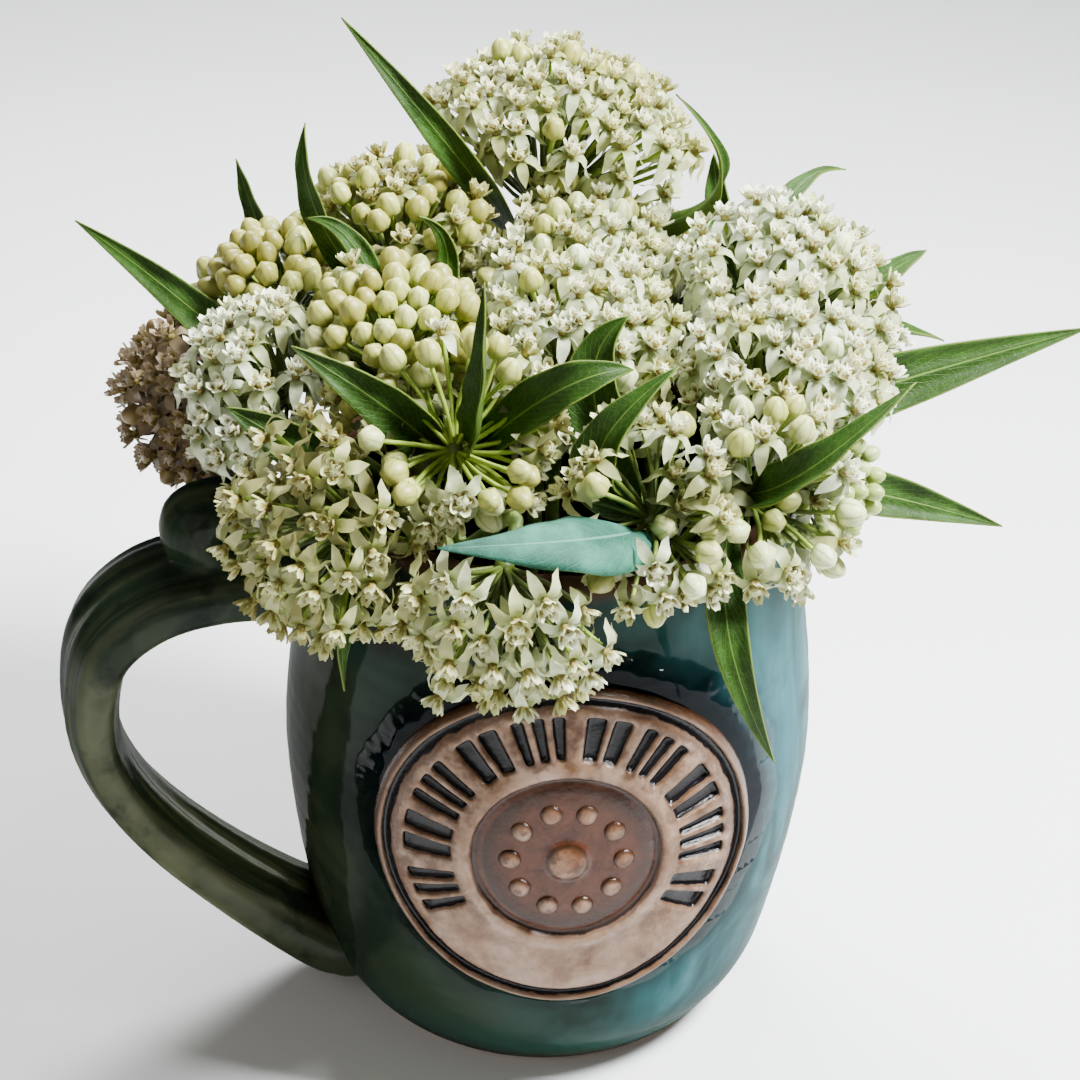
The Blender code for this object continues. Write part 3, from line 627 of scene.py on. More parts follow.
def greenMaterial(name, low, high, scale=0.25, shaded=False):
    made, tree, shader = newMaterial(name, Roughness=0.5, Subsurface_Weight=0.15,
                                     Subsurface_Radius=(0.6, 1.0, 0.3), Subsurface_Scale=0.6 * mm)
    place = objectPlace(tree)
    cloud = speckle(tree, place, scale, 3.0)
    colour = ramp(tree, cloud, [(0.3, low), (0.7, high)])
    if shaded:
        # painted shade: the fine stalks turn dark deep inside the head
        inside = remap(tree, shadeDepth(tree), 0.8, 0.45, 0.0, 0.85)
        colour = blendColour(tree, inside, colour, dimmed(low, 0.25))
    colourShader(tree, shader, colour)
    ribs = speckle(tree, objectPlace(tree, scale=(1, 1, 0.08)), 3.0, 2.0)
    bumpOn(tree, shader, ribs, 0.08)
    return made


def makeStems():
    skin = greenMaterial("stem_skin", (0.10, 0.17, 0.03), (0.22, 0.30, 0.07))
    for node in stem["nodes"]:
        piece = addPiece(node + "_green", mergedCopy(node), [skin], node, "stem")
        rounder = piece.modifiers.new("Rounder", "SUBSURF")
        rounder.levels = rounder.render_levels = 2


# leaves: the midrib leaves its head's stalk `below` the hub, passes `via` halfway and ends at `tip`, in mm.
# `face` is the way that the upper side looks, and `fold` how far the edges rise from the midrib.
leaf = {"along": 34, "across": 10, "thickness": 0.3, "ripple": 0.3, "standOff": 2.15, "hollow": 0.2}
leaves = {
    "leaf_top_left": dict(head="head_top", below=7, via=(-21, 24, 152), tip=(-40, 30, 172),
                          width=5.5, face=(-0.3, -0.8, 0.5), fold=0.35),
    "leaf_top_right": dict(head="head_top", below=6, via=(24, 27, 143), tip=(17, 22, 164),
                           width=5, face=(0.9, -0.3, 0.3), fold=0.5),
    "leaf_behind_top": dict(head="head_right_high", below=5, via=(27, 34, 135), tip=(25, 38, 147),
                            width=6, face=(-0.2, -0.9, 0.3), fold=0.3),
    "leaf_back_right": dict(head="head_right_high", below=7, via=(38, 40, 136), tip=(50, 53, 139),
                            width=5, face=(-0.3, -0.3, 1.0), fold=0.3),
    "leaf_back_left_outer": dict(head="head_back_left_bud", below=5, via=(-54, 31, 131), tip=(-59, 36, 143),
                                 width=5, face=(-0.5, -0.8, 0.2), fold=0.4),
    "leaf_back_left_inner": dict(head="head_back_left", below=6, via=(-42, 13, 142), tip=(-45, 17, 158),
                                 width=5.5, face=(-0.5, -0.8, 0.2), fold=0.4),
    "leaf_back_left_small": dict(head="head_left_bud", below=4, via=(-34, 4, 139), tip=(-44, 7, 145),
                                 width=4.5, face=(0.3, -0.8, 0.6), fold=0.3),
    "leaf_far_left": dict(head="head_left", below=6, via=(-62, 9, 125), tip=(-85, 20, 137),
                          width=7, face=(-0.2, -0.8, 0.7), fold=0.35),
    "leaf_small_centre": dict(head="head_left_bud", below=5, via=(-20, 5, 137), tip=(-25, 3, 148),
                              width=4, face=(0.2, -0.9, 0.3), fold=0.3),
    "leaf_right_upper": dict(head="head_right_high", below=6, via=(52, 23, 129), tip=(63, 30, 134),
                             width=6, face=(-0.3, -0.7, 0.7), fold=0.4),
    "leaf_right_long": dict(head="head_right_low", below=6, via=(55, 8, 118), tip=(91, 18, 126),
                            width=11, face=(-0.2, -1.0, 0.3), fold=0.25),
    "leaf_right_front": dict(head="head_right_front", below=4, via=(38, -38, 125), tip=(55, -32, 139),
                             width=7, face=(-0.6, -0.5, 0.6), fold=0.5),
    "leaf_right_low": dict(head="head_green_bud", below=5, via=(55, -5, 104), tip=(77, -2, 97),
                           width=8, face=(0.0, -1.0, 0.4), fold=0.35),
    "leaf_left_centre": dict(head="head_starred", below=6, via=(-28, -29, 129), tip=(-43, -29, 139),
                             width=8, face=(-0.2, -0.9, 0.3), fold=0.3),
    "leaf_left_low": dict(head="head_low_left", below=5, via=(-43, -25, 119), tip=(-54, -24, 125),
                          width=8, face=(-0.3, -0.8, 0.6), fold=0.3),
    "leaf_upright": dict(head="head_starred", below=3, via=(-13, -33, 132), tip=(-13, -28, 151),
                         width=6.5, face=(-0.9, -0.4, 0.1), fold=0.6),
    "leaf_centre_flat": dict(head="head_starred", below=7, via=(-1, -31, 134), tip=(11, -28, 137),
                             width=8, face=(0.1, -0.7, 0.8), fold=0.3),
    "leaf_centre_dark": dict(head="head_front_right", below=6, via=(5, -22, 130), tip=(10, -19, 142),
                             width=10, face=(-0.4, -0.8, 0.4), fold=0.3),
    "leaf_centre_large": dict(head="head_front_right", below=5, via=(6, -37, 126), tip=(18, -32, 140),
                              width=9, face=(-0.5, -0.8, 0.5), fold=0.3),
    "leaf_underside": dict(head="head_front_right", below=4, via=(5, -51, 119), tip=(-18, -61, 122),
                           width=13, face=(0.0, 0.5, -0.8), fold=0.25),
    "leaf_hanging_right": dict(head="head_right_front", below=5, via=(28, -46, 100), tip=(37, -48, 77),
                               width=6.5, face=(0.1, -1.0, 0.2), fold=0.3),
    "leaf_hanging_left": dict(head="head_low_left", below=4, via=(-33, -42, 101), tip=(-33, -46, 86),
                              width=4.5, face=(0.8, -0.7, 0.1), fold=0.4),
    "leaf_rear_left": dict(head="head_back_low", below=5, via=(-45, 57, 115), tip=(-62, 67, 112),
                           width=10, face=(-0.2, 0.4, 0.9), fold=0.3),
    "leaf_rear": dict(head="head_back", below=4, via=(2, 66, 119), tip=(-2, 84, 127),
                      width=11, face=(0.1, -0.5, 0.9), fold=0.3),
    "leaf_rear_low": dict(head="head_back", below=4, via=(12, 55, 97), tip=(16, 63, 77),
                          width=10, face=(0.1, 0.95, 0.3), fold=0.3),
    "leaf_rear_right": dict(head="head_back_right", below=5, via=(54, 46, 110), tip=(72, 56, 104),
                            width=10, face=(0.3, 0.1, 0.9), fold=0.3),
}


def leafRib(kind):
    head = heads[kind["head"]]
    axis = Vector(head["axis"]).normalized()
    root = Vector(head["hub"]) - axis * kind["below"]
    via, tip = Vector(kind["via"]), Vector(kind["tip"])
    out = via - root
    out -= axis * out.dot(axis)
    base = root + out.normalized() * leaf["standOff"]
    return base, via * 2 - (base + tip) / 2, tip


def makeLeaf(name, kind, materials, seed):
    dice = random.Random(seed)
    base, bend, tip = leafRib(kind)
    phase, twist = dice.uniform(0, math.tau), dice.uniform(-0.25, 0.25)
    shape = bmesh.new()
    shape.loops.layers.uv.new("blade")
    bmesh.ops.create_grid(shape, x_segments=leaf["along"], y_segments=leaf["across"], size=0.5, calc_uvs=True)
    blade = shape.loops.layers.uv.active
    for face in shape.faces:
        for loop in face.loops:
            loop[blade].uv = (loop.vert.co.x + 0.5, loop.vert.co.y + 0.5)
    for vert in shape.verts:
        along, side = vert.co.x + 0.5, vert.co.y * 2
        spot = base.lerp(bend, along).lerp(bend.lerp(tip, along), along)
        run = (bend.lerp(tip, along) - base.lerp(bend, along)).normalized()
        across = run.cross(Vector(kind["face"])).normalized()
        across = Matrix.Rotation(twist * along, 3, run) @ across
        rise = across.cross(run)
        swell = math.sin(math.pi * along**0.7) ** 0.9 if 0 < along < 1 else 0
        half = max(kind["width"] / 2 * swell, 0.45 * (1 - along) + 0.05)
        lift = kind["fold"] * abs(side) - leaf["hollow"] * math.sin(math.pi * abs(side))
        wave = leaf["ripple"] * side**2 * math.sin(along * 24 + phase + side) * math.sin(math.pi * along)
        vert.co = (spot + across * side * half + rise * (lift * half + wave)) * mm
    shape.normal_update()
    if sum(face.normal.dot(Vector(kind["face"])) for face in shape.faces) < 0:
        bmesh.ops.reverse_faces(shape, faces=shape.faces)
    piece = addPiece(name + "_blade", shape, materials, name, "leaf")
    thicken = piece.modifiers.new("Thicken", "SOLIDIFY")
    thicken.thickness = leaf["thickness"] * mm
    thicken.offset = 0
    thicken.material_offset = 1


leafFinish = {  # blade, vein, edge, roughness and how strongly the veins show
    "leaf_upper": ((0.018, 0.050, 0.005), (0.11, 0.19, 0.03), (0.15, 0.20, 0.03), 0.5, 0.6),
    "leaf_under": ((0.045, 0.090, 0.012), (0.15, 0.22, 0.04), (0.13, 0.18, 0.03), 0.6, 0.5),
    "leaf_under_pale": ((0.023, 0.103, 0.068), (0.085, 0.24, 0.17), (0.05, 0.17, 0.07), 0.65, 0.6),
}


def leafMaterial(name, blade, vein, edge, gloss, veinShare):
    made, tree, shader = newMaterial(name, Roughness=gloss, Specular_IOR_Level=0.15)
    parts = addNode(tree, "SeparateXYZ", {0: addNode(tree, "UVMap", uv_map="blade").outputs[0]})
    along = parts.outputs["X"]
    side = unsigned(tree, minus(tree, parts.outputs["Y"], 0.5))
    place = objectPlace(tree)
    waver = times(tree, minus(tree, speckle(tree, place, 0.35, 2.0), 0.5), 0.7)
    slant = minus(tree, times(tree, along, 16), times(tree, side, 8))
    ribs = unsigned(tree, minus(tree, mathNode(tree, "FRACT", plus(tree, slant, waver)), 0.5))
    ribs = remap(tree, ribs, 0.09, 0.0)
    midrib = remap(tree, side, 0.03, 0.010)
    rim = remap(tree, side, 0.475, 0.5)
    cells = {"Vector": place, "Scale": 0.9}
    net = addNode(tree, "TexVoronoi", cells, feature="DISTANCE_TO_EDGE").outputs["Distance"]
    net = remap(tree, net, 0.09, 0.0)
    veins = larger(tree, times(tree, ribs, 0.6), times(tree, net, 0.25))
    cloud = speckle(tree, place, 0.14, 4.0, 0.6)
    colour = ramp(tree, cloud, [(0.3, dimmed(blade, 0.6)), (0.52, blade), (0.75, dimmed(blade, 1.9))])
    colour = blendColour(tree, times(tree, veins, veinShare), colour, vein)
    colour = blendColour(tree, times(tree, midrib, 0.85), colour, vein)
    colour = blendColour(tree, times(tree, rim, 0.6), colour, edge)
    colourShader(tree, shader, colour)
    relief = minus(tree, times(tree, cloud, 0.2), larger(tree, veins, midrib))
    bumpOn(tree, shader, relief, 0.2, 0.6)
    thinGlow(tree, shader, colour, 0.12)
    return made


def makeLeaves():
    upper, under, pale = (leafMaterial(name, *finish) for name, finish in leafFinish.items())
    for i, (name, kind) in enumerate(leaves.items()):
        makeLeaf(name, kind, [upper, pale if name == "leaf_underside" else under], 40 + i)


# one flower, one bud and one stalk, in millimetres, facing +Z
flower = {
    "petal": {"length": 5.6, "width": 2.15, "bends": (10, -30, -68, -80, -35), "from": (0.6, 1.0)},
    "hood": {"length": 1.45, "width": 1.7, "from": (0.75, 1.7), "rise": 2.0, "rim": 0.6},
    "horn": {"width": 0.32, "out": (1.7, 2.7), "over": (1.2, 4.3), "end": (0.15, 3.6)},
    "column": {"height": 2.3, "radius": (0.7, 0.95), "from": 1.0},
    "top": 3.9,
}
bud = {"length": 4.9, "width": 4.3, "sepal": 1.2}
stalk = {"radius": 0.42, "sides": 5, "steps": 4}
petalSlot, hoodSlot, heartSlot, stalkSlot, budSlot = range(5)


def paint(shape, faces, slot):
    for face in faces:
        face.material_index = slot


def bentGrid(shape, along, across, slot, bend):
    made = bmesh.ops.create_grid(shape, x_segments=along, y_segments=across, size=0.5, calc_uvs=True)["verts"]
    faces = {f for v in made for f in v.link_faces}
    layer = shape.loops.layers.uv.active
    for face in faces:
        for loop in face.loops:
            loop[layer].uv = (loop.vert.co.x + 0.5, loop.vert.co.y + 0.5)
    for vert in made:
        vert.co = bend(vert.co.x + 0.5, vert.co.y * 2)
    paint(shape, faces, slot)
    return made


def petalPoint(along, side):
    # bent back from the crown of hoods, with a tip that kicks out again
    petal = flower["petal"]
    r, z = petal["from"]
    step = petal["length"] / len(petal["bends"])
    for k, bend in enumerate(petal["bends"]):
        share = min(1.0, max(0.0, along * len(petal["bends"]) - k))
        r += math.cos(math.radians(bend)) * step * share
        z += math.sin(math.radians(bend)) * step * share
    half = petal["width"] / 2 * max(0.04, math.sin(math.pi * (0.18 + 0.82 * along)) ** 0.7)
    return Vector((r, side * half, z + abs(side) * half * 0.25))


def hoodPoint(along, side):
    # a scoop with raised sides and a round lip
    hood = flower["hood"]
    r, z = hood["from"]
    half = hood["width"] / 2 * (0.45, 0.95, 1.0, 0.55)[round(along * 3)]
    lip = hood["rim"] * abs(side) * (1 - 0.45 * along)
    reach = hood["length"] * (along - 0.12 * abs(side) * along)
    return Vector((r + reach, side * half, z + hood["rise"] * along**1.3 + lip))


def hornPoint(along, side):
    horn = flower["horn"]
    first, over, end = (Vector((r, 0, z)) for r, z in (horn["out"], horn["over"], horn["end"]))
    spot = first.lerp(over, along).lerp(over.lerp(end, along), along)
    spot.y = side * horn["width"] / 2 * (1 - 0.4 * along)
    return spot


def flowerMesh():
    shape = bmesh.new()
    shape.loops.layers.uv.new("petalMap")
    for k in range(5):
        spin = Matrix.Rotation(math.tau * k / 5, 4, "Z")
        between = Matrix.Rotation(math.tau * (k + 0.5) / 5, 4, "Z")
        petal = bentGrid(shape, 4, 2, petalSlot, petalPoint)
        bmesh.ops.transform(shape, matrix=between, verts=petal)
        hood = bentGrid(shape, 3, 2, hoodSlot, hoodPoint) + bentGrid(shape, 2, 1, hoodSlot, hornPoint)
        bmesh.ops.transform(shape, matrix=spin, verts=hood)
    column = flower["column"]
    middle = Matrix.Translation((0, 0, column["from"] + column["height"] / 2))
    core = bmesh.ops.create_cone(shape, cap_ends=True, segments=10, radius1=column["radius"][0],
                                 radius2=column["radius"][1], depth=column["height"], matrix=middle)["verts"]
    faces = {f for v in core for f in v.link_faces}
    paint(shape, faces, heartSlot)
    paint(shape, [f for f in faces if f.normal.z > 0.9], hoodSlot)
    return templateMesh("flower", shape)


def sepalPoint(along, side):
    return Vector((0.5 + along * 1.6, side * 0.45 * (1 - 0.8 * along), 0.15 + along * bud["sepal"]))


def budMesh():
    shape = bmesh.new()
    shape.loops.layers.uv.new("petalMap")
    made = bmesh.ops.create_uvsphere(shape, u_segments=10, v_segments=6, radius=1)["verts"]
    layer = shape.loops.layers.uv.active
    for face in shape.faces:
        for loop in face.loops:
            crest = 0.5 + 0.5 * math.sin(5 * math.atan2(loop.vert.co.y, loop.vert.co.x))
            loop[layer].uv = (loop.vert.co.z / 2 + 0.5, crest)
    for vert in made:
        angle, height = math.atan2(vert.co.y, vert.co.x), vert.co.z
        lobe = 1 + 0.07 * math.sin(5 * angle)
        wide = bud["width"] / 2 * (1 - 0.10 * height) * lobe
        tall = 1 + height * (1.04 if height > 0.9 else 1)
        vert.co = Vector((vert.co.x * wide, vert.co.y * wide, bud["length"] / 2 * tall))
    paint(shape, shape.faces, budSlot)
    for k in range(5):
        sepal = bentGrid(shape, 1, 1, stalkSlot, sepalPoint)
        bmesh.ops.transform(shape, matrix=Matrix.Rotation(math.tau * k / 5, 4, "Z"), verts=sepal)
    return templateMesh("bud", shape)


def stalkMesh():
    # a round stalk of unit length up +Z
    shape = bmesh.new()
    shape.loops.layers.uv.new("petalMap")
    ring = bmesh.ops.create_circle(shape, segments=stalk["sides"], radius=stalk["radius"])["verts"]
    edges = list({e for v in ring for e in v.link_edges})
    for _ in range(stalk["steps"]):
        grown = bmesh.ops.extrude_edge_only(shape, edges=edges)["geom"]
        edges = [e for e in grown if isinstance(e, bmesh.types.BMEdge)]
        verts = [v for v in grown if isinstance(v, bmesh.types.BMVert)]
        edges = [e for e in edges if all(v in verts for v in e.verts)]
        bmesh.ops.translate(shape, verts=verts, vec=(0, 0, 1 / stalk["steps"]))
    bmesh.ops.recalc_face_normals(shape, faces=shape.faces)
    paint(shape, shape.faces, stalkSlot)
    return templateMesh("stalk", shape)


def templateMesh(name, shape):
    mesh = bpy.data.meshes.new(name)
    shape.to_mesh(mesh)
    shape.free()
    return mesh


# the flower heads: hub, axis and reach are the CAD's own, and spread is the CAD's or less, in mm and degrees
# bowl: the bare middle. buds: their share in the middle and at the edge. gap: between flowers.
# upright: how far each flower turns from facing outwards to facing up. tint: 0 shaded and warm, 1 white.
heads = {
    "head_low_front": dict(hub=(-8, -45, 110), axis=(-0.15, -0.78, -0.6), reach=25, spread=68, bowl=0,
                           buds=(0, 0), gap=7.5, upright=-0.35, tint=0.6),
    "head_low_left": dict(hub=(-32, -31, 109), axis=(-0.65, -0.72, 0.15), reach=25, spread=90, bowl=0,
                          buds=(0, 0), gap=7.5, upright=-0.35, tint=0.2),
    "head_starred": dict(hub=(-17, -26, 120), axis=(0.0, -0.7, 0.7), reach=22, spread=92, bowl=40,
                         buds=(0.9, 0.1), gap=5.9, upright=0.1, tint=0.5),
    "head_front_right": dict(hub=(15, -35, 114), axis=(0.1, -0.76, 0.65), reach=20, spread=76, bowl=13,
                             buds=(0.8, 0), gap=5.5, upright=0.1, tint=0.65),
    "head_right_front": dict(hub=(31, -28, 114), axis=(0.4, -0.75, 0.5), reach=20, spread=76, bowl=13,
                             buds=(1, 0.2), gap=5.6, upright=0.1, tint=0.65),
    "head_green_bud": dict(hub=(41, -14, 110), axis=(0.75, -0.6, 0.1), reach=14, spread=88, bowl=0,
                           buds=(1, 1), gap=4.0, upright=0, tint=0.5),
    "head_right_low": dict(hub=(33, -5, 117), axis=(0.55, -0.4, 0.72), reach=26, spread=85, bowl=0,
                           buds=(0.1, 0.05), gap=5.9, upright=0.45, tint=0.8),
    "head_right_high": dict(hub=(34, 17, 122), axis=(0.4, 0.1, 0.9), reach=27, spread=85, bowl=0,
                            buds=(0.1, 0.05), gap=5.9, upright=0.45, tint=0.9),
    "head_centre": dict(hub=(1, 0, 116), axis=(0.05, -0.35, 0.93), reach=29, spread=80, bowl=0,
                        buds=(0.2, 0.1), gap=5.9, upright=0.45, tint=0.7),
    "head_centre_back": dict(hub=(2, 22, 121), axis=(0.05, 0.0, 1.0), reach=25, spread=80, bowl=0,
                             buds=(0.45, 0.3), gap=5.6, upright=0.4, tint=0.6),
    "head_left_bud": dict(hub=(-28, -6, 121), axis=(-0.1, -0.4, 0.9), reach=24, spread=82, bowl=0,
                          buds=(1, 0.8), gap=5.1, upright=0.2, tint=0.4),
    "head_left": dict(hub=(-46, -5, 117), axis=(-0.45, -0.45, 0.77), reach=21, spread=85, bowl=0,
                      buds=(0.05, 0), gap=6.1, upright=0.5, tint=0.9),
    "head_faded": dict(hub=(-58, 12, 109), axis=(-0.75, -0.5, 0.0), reach=21, spread=90, bowl=0,
                       buds=(0.2, 0), gap=5.9, upright=0.3, tint=0.0),
    "head_back_left_bud": dict(hub=(-48, 18, 121), axis=(-0.4, 0.1, 0.9), reach=19, spread=80, bowl=0,
                               buds=(1, 1), gap=4.9, upright=0.2, tint=0.2),
    "head_back_left": dict(hub=(-29, 26, 125), axis=(-0.15, 0.1, 0.97), reach=25, spread=84, bowl=0,
                           buds=(0.8, 0.5), gap=5.3, upright=0.3, tint=0.3),
    "head_top": dict(hub=(-5, 47, 131), axis=(0.22, 0.0, 0.97), reach=33, spread=62, bowl=0,
                     buds=(0.2, 0.15), gap=5.8, upright=0.5, tint=0.5),
    "head_back": dict(hub=(10, 44, 110), axis=(0.1, 0.9, 0.2), reach=25, spread=88, bowl=0,
                      buds=(0.2, 0), gap=6.0, upright=0.3, tint=0.6),
    "head_back_right": dict(hub=(34, 35, 112), axis=(0.6, 0.75, 0.3), reach=25, spread=88, bowl=0,
                            buds=(0.2, 0), gap=6.0, upright=0.3, tint=0.7),
    "head_back_low": dict(hub=(-25, 46, 111), axis=(-0.45, 0.85, 0.2), reach=24, spread=88, bowl=0,
                          buds=(0.4, 0.1), gap=6.0, upright=0.3, tint=0.5),
}


def capDirections(head, dice):
    # even but restless directions over the head's cap, from its bowl out to its spread
    axis = Vector(head["axis"]).normalized()
    turn = up.rotation_difference(axis)
    low, high = math.cos(math.radians(head["bowl"])), math.cos(math.radians(head["spread"]))
    count = int(math.tau * (head["reach"] - 1) ** 2 * (low - high) / (0.866 * head["gap"] ** 2))
    for k in range(count):
        height = low - (low - high) * (k + 0.5 + dice.uniform(-1.5, 1.5)) / count
        height = min(low, max(high, height))
        angle = math.pi * (3 - math.sqrt(5)) * k + dice.uniform(-0.12, 0.12)
        side = math.sqrt(1 - height**2)
        polar = (math.degrees(math.acos(height)) - head["bowl"]) / (head["spread"] - head["bowl"])
        yield turn @ Vector((side * math.cos(angle), side * math.sin(angle), height)), polar


def stamp(shape, template, matrix, tint, layers, reach, bulge=None):
    copy = template.copy()
    if bulge:
        for vert in copy.vertices:
            vert.co.x += bulge[0] * math.sin(math.pi * vert.co.z)
            vert.co.y += bulge[1] * math.sin(math.pi * vert.co.z)
    copy.transform(matrix)
    first = len(shape.verts)
    shape.from_mesh(copy)
    shape.verts.ensure_lookup_table()
    hub, length = reach
    for vert in shape.verts[first:]:
        vert[layers[0]] = tint
        vert[layers[1]] = (vert.co - hub).length / (length * mm)
    bpy.data.meshes.remove(copy)


def makeHead(name, head, templates, materials, leafTree, taken, seed):
    dice = random.Random(seed)
    cell = BVHTree.FromBMesh(mergedCopy(name))
    hub = Vector(head["hub"]) * mm
    shape = bmesh.new()
    shape.loops.layers.uv.new("petalMap")
    # tint and depth carry painted shade: tint per head, depth for how far inside the head a point lies
    layers = [shape.verts.layers.float.new("tint"), shape.verts.layers.float.new("depth")]
    grown = head["gap"] / 5.6 if name == "head_green_bud" else 1
    placed = 0
    for direction, polar in capDirections(head, dice):
        hit = cell.ray_cast(hub + direction * (head["reach"] + 3) * mm, -direction)[0]
        if hit is None:
            continue
        end = (hit - hub).dot(direction) / mm + 0.6
        isBud = dice.random() < head["buds"][0] + (head["buds"][1] - head["buds"][0]) * polar
        size = dice.uniform(0.95, 1.12) * grown * (dice.uniform(0.85, 1) if isBud else 1)
        tall = (bud["length"] if isBud else flower["top"]) * size
        base = end - tall - dice.uniform(0, head["reach"] * (0.11 if head["upright"] > 0 else 0.22))
        if end < head["reach"] * 0.5 or base < 3:
            continue
        foot = hub + direction * base * mm
        heart = foot + direction * tall * 0.6 * mm
        gap = leafTree.find_nearest(heart)[3]
        if gap < 3.1 * mm * size or any((heart - other).length < head["gap"] * 0.66 * mm for other in taken):
            continue
        taken.append(heart)
        placed += 1
        lean = direction * (1 - abs(head["upright"])) + up * head["upright"]
        lean += Vector([dice.uniform(-0.2, 0.2) for _ in range(3)])
        turn = up.rotation_difference(lean.normalized()).to_matrix().to_4x4()
        spin = Matrix.Rotation(dice.uniform(0, math.tau), 4, "Z")
        matrix = Matrix.Translation(foot) @ turn @ spin @ Matrix.Scale(size * mm, 4)
        # tint is painted shade: the head's own value, low for heads in shade, plus a random tone per flower
        tint = min(1.0, max(0.0, head["tint"] + dice.uniform(-0.35, 0.3)))
        stamp(shape, templates["bud" if isBud else "flower"], matrix, tint, layers, (hub, end))
        along = up.rotation_difference(direction).to_matrix().to_4x4()
        stretch = Matrix.Diagonal((mm * grown, mm * grown, (base + 0.3) * mm, 1))
        bulge = (dice.uniform(-0.9, 0.9), dice.uniform(-0.9, 0.9))
        # in a head with a bare bowl the stalks are left without the painted shade
        stamp(shape, templates["stalk"], Matrix.Translation(hub) @ along @ stretch, tint, layers,
              (hub, end if head["bowl"] < 20 else 1), bulge)
    knob = bmesh.ops.create_uvsphere(shape, u_segments=10, v_segments=8, radius=1.7 * mm,
                                     matrix=Matrix.Translation(hub))
    paint(shape, {f for v in knob["verts"] for f in v.link_faces}, stalkSlot)
    # the far-left head's flowers carry painted shade in their colour
    slotName = {"head_faded": "faded_flowers"}.get(name, "flower_buds" if "bud" in name else "flowers")
    addPiece(name.replace("head_", "umbel_"), shape, materials, name, slotName)
    return placed


def shadeDepth(tree):
    return addNode(tree, "Attribute", attribute_name="depth").outputs["Fac"]


def petalMaterial(name, stops, foot, gloss, glowShare, hollow=None, seam=None):
    made, tree, shader = newMaterial(name, Roughness=gloss)
    tint = addNode(tree, "Attribute", attribute_name="tint").outputs["Fac"]
    parts = addNode(tree, "SeparateXYZ", {0: addNode(tree, "UVMap", uv_map="petalMap").outputs[0]})
    along, side = parts.outputs["X"], parts.outputs["Y"]
    place = objectPlace(tree)
    cloud = speckle(tree, place, 0.4, 3.0, 0.6)
    # painted shade: the tint ramp runs from warm and dark for shaded heads to white for lit ones
    colour = ramp(tree, tint, stops)
    # towards its foot each part takes the foot colour; on the petals this dark green is partly their own
    # green base and partly painted shade
    colour = blendColour(tree, remap(tree, along, 0.5, 0.0, 0.0, 0.7), colour, foot)
    if hollow:  # the inside of each hood is ochre, its lip stays white
        off = unsigned(tree, minus(tree, side, 0.5))
        inside = times(tree, remap(tree, off, 0.34, 0.16), remap(tree, along, 0.85, 0.55))
        colour = blendColour(tree, times(tree, inside, 0.9), colour, hollow)
    # the seams between the bud's petals are partly green and partly painted shade in the grooves
    if seam:
        colour = blendColour(tree, remap(tree, side, 0.34, 0.0, 0.0, 0.6), colour, seam)
    # painted shade: petals, hoods and buds turn darker and greener deep in the head, towards the hub
    inner = remap(tree, shadeDepth(tree), 0.82, 0.58, 0.0, 0.8)
    colour = blendColour(tree, inner, colour, dimmed(foot, 0.3))
    shade = remap(tree, cloud, 0.35, 0.7, 0.86, 1.04)
    shade = addNode(tree, "CombineColor", {0: shade, 1: shade, 2: shade}).outputs[0]
    colour = blendColour(tree, 1.0, colour, shade, "MULTIPLY")
    colourShader(tree, shader, colour)
    bumpOn(tree, shader, speckle(tree, place, 1.6, 2.0), 0.10, 0.5)
    if glowShare:
        thinGlow(tree, shader, colour, glowShare)
    return made


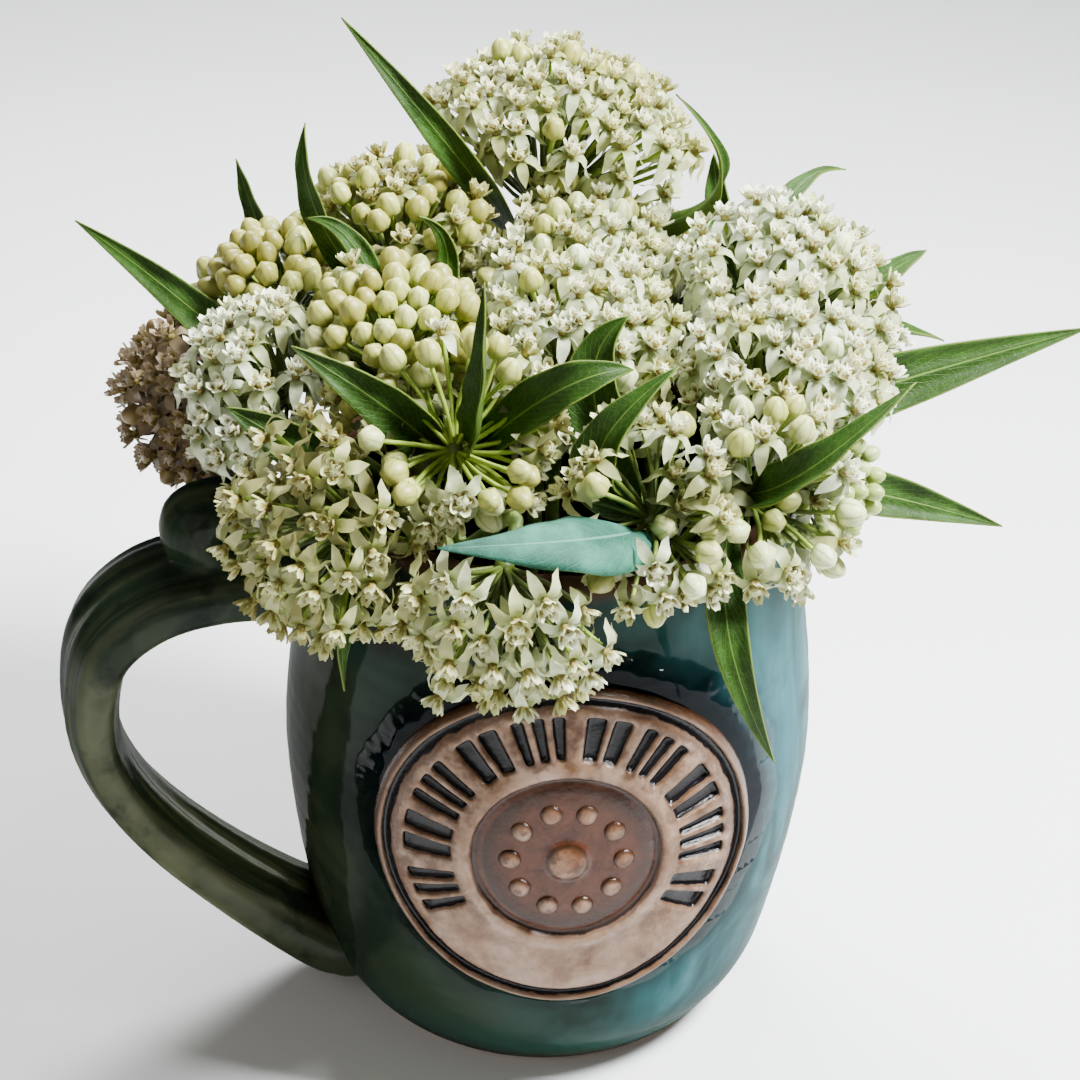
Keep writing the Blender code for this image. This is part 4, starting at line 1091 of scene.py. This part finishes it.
def flowerMaterials(warm, cream, cool, budFoot, stalkLow, stalkHigh):
    stops = [(0.0, warm), (0.5, cream), (1.0, cool)]
    yellows = [(0.9, 0.85, 0.45), (0.85, 0.84, 0.5), (0.92, 0.93, 0.75)]
    budStops = [(at, tuple(c * share for c, share in zip(colour, yellow)))
                for (at, colour), yellow in zip(stops, yellows)]
    brighter = [(at, tuple(min(0.93, c * 1.12 + 0.02) for c in colour)) for at, colour in stops]
    heart = newMaterial("flower_heart", Roughness=0.5)
    tree = heart[1]
    dapple = speckle(tree, objectPlace(tree), 1.4, 2.0)
    dapple = ramp(tree, dapple, [(0.38, (0.10, 0.055, 0.008)), (0.62, (0.38, 0.33, 0.10))])
    colourShader(tree, heart[2], dapple)
    return [
        petalMaterial("petals", stops, dimmed(budFoot, 0.75), 0.45, 0.35),
        petalMaterial("hoods", brighter, cream, 0.35, 0.1, hollow=(0.20, 0.15, 0.012)),
        heart[0],
        greenMaterial("fine_stalks", stalkLow, stalkHigh, shaded=True),
        petalMaterial("buds", budStops, budFoot, 0.42, 0.0, seam=dimmed(budFoot, 0.7)),
    ]


def makeHeads():
    white = flowerMaterials((0.30, 0.28, 0.09), (0.53, 0.55, 0.24), (0.77, 0.84, 0.61), (0.24, 0.32, 0.03),
                            (0.15, 0.24, 0.015), (0.36, 0.45, 0.06))
    green = flowerMaterials((0.30, 0.40, 0.14), (0.42, 0.52, 0.22), (0.58, 0.64, 0.40), (0.28, 0.40, 0.12),
                            (0.16, 0.25, 0.04), (0.32, 0.42, 0.10))
    # a darker, browner copy of the flower materials for the far-left head: painted shade
    shadedBrown = flowerMaterials((0.20, 0.14, 0.075), (0.30, 0.22, 0.13), (0.42, 0.33, 0.22), (0.20, 0.15, 0.06),
                            (0.16, 0.14, 0.05), (0.28, 0.24, 0.10))
    templates = {"flower": flowerMesh(), "bud": budMesh(), "stalk": stalkMesh()}
    blades = bmesh.new()
    for node in leaves:
        blades.from_mesh(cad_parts[node].data)
    leafTree = BVHTree.FromBMesh(blades)
    taken, total = [], 0
    for i, (name, head) in enumerate(heads.items()):
        materials = {"head_green_bud": green, "head_faded": shadedBrown}.get(name, white)
        total += makeHead(name, head, templates, materials, leafTree, taken, 700 + i)
    for mesh in templates.values():
        bpy.data.meshes.remove(mesh)
    print("flowers and buds:", total)


def makeFloor():
    shape = bmesh.new()
    bmesh.ops.create_grid(shape, x_segments=8, y_segments=8, size=3.0)
    made, tree, shader = newMaterial("floor", Roughness=0.9)
    tint = speckle(tree, objectPlace(tree), 0.01, 2.0)
    colourShader(tree, shader, ramp(tree, tint, [(0.3, (0.80, 0.80, 0.80)), (0.7, (0.83, 0.83, 0.83))]))
    floor = addPiece("floor", shape, [made])
    floor.location.z = -0.0002
    floor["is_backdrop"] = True


print("camera and light")
makeCamera()
makeLights()
makeFloor()
print("mug")
glazeFoot(makeMugBody())
makeMedallion()
makeHandle()
print("stems and leaves")
makeStems()
makeLeaves()
print("flower heads")
makeHeads()

boxes = {"cad": cadBox, "visual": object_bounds()}
{name: [list(corner) for corner in box] for name, box in boxes.items()}
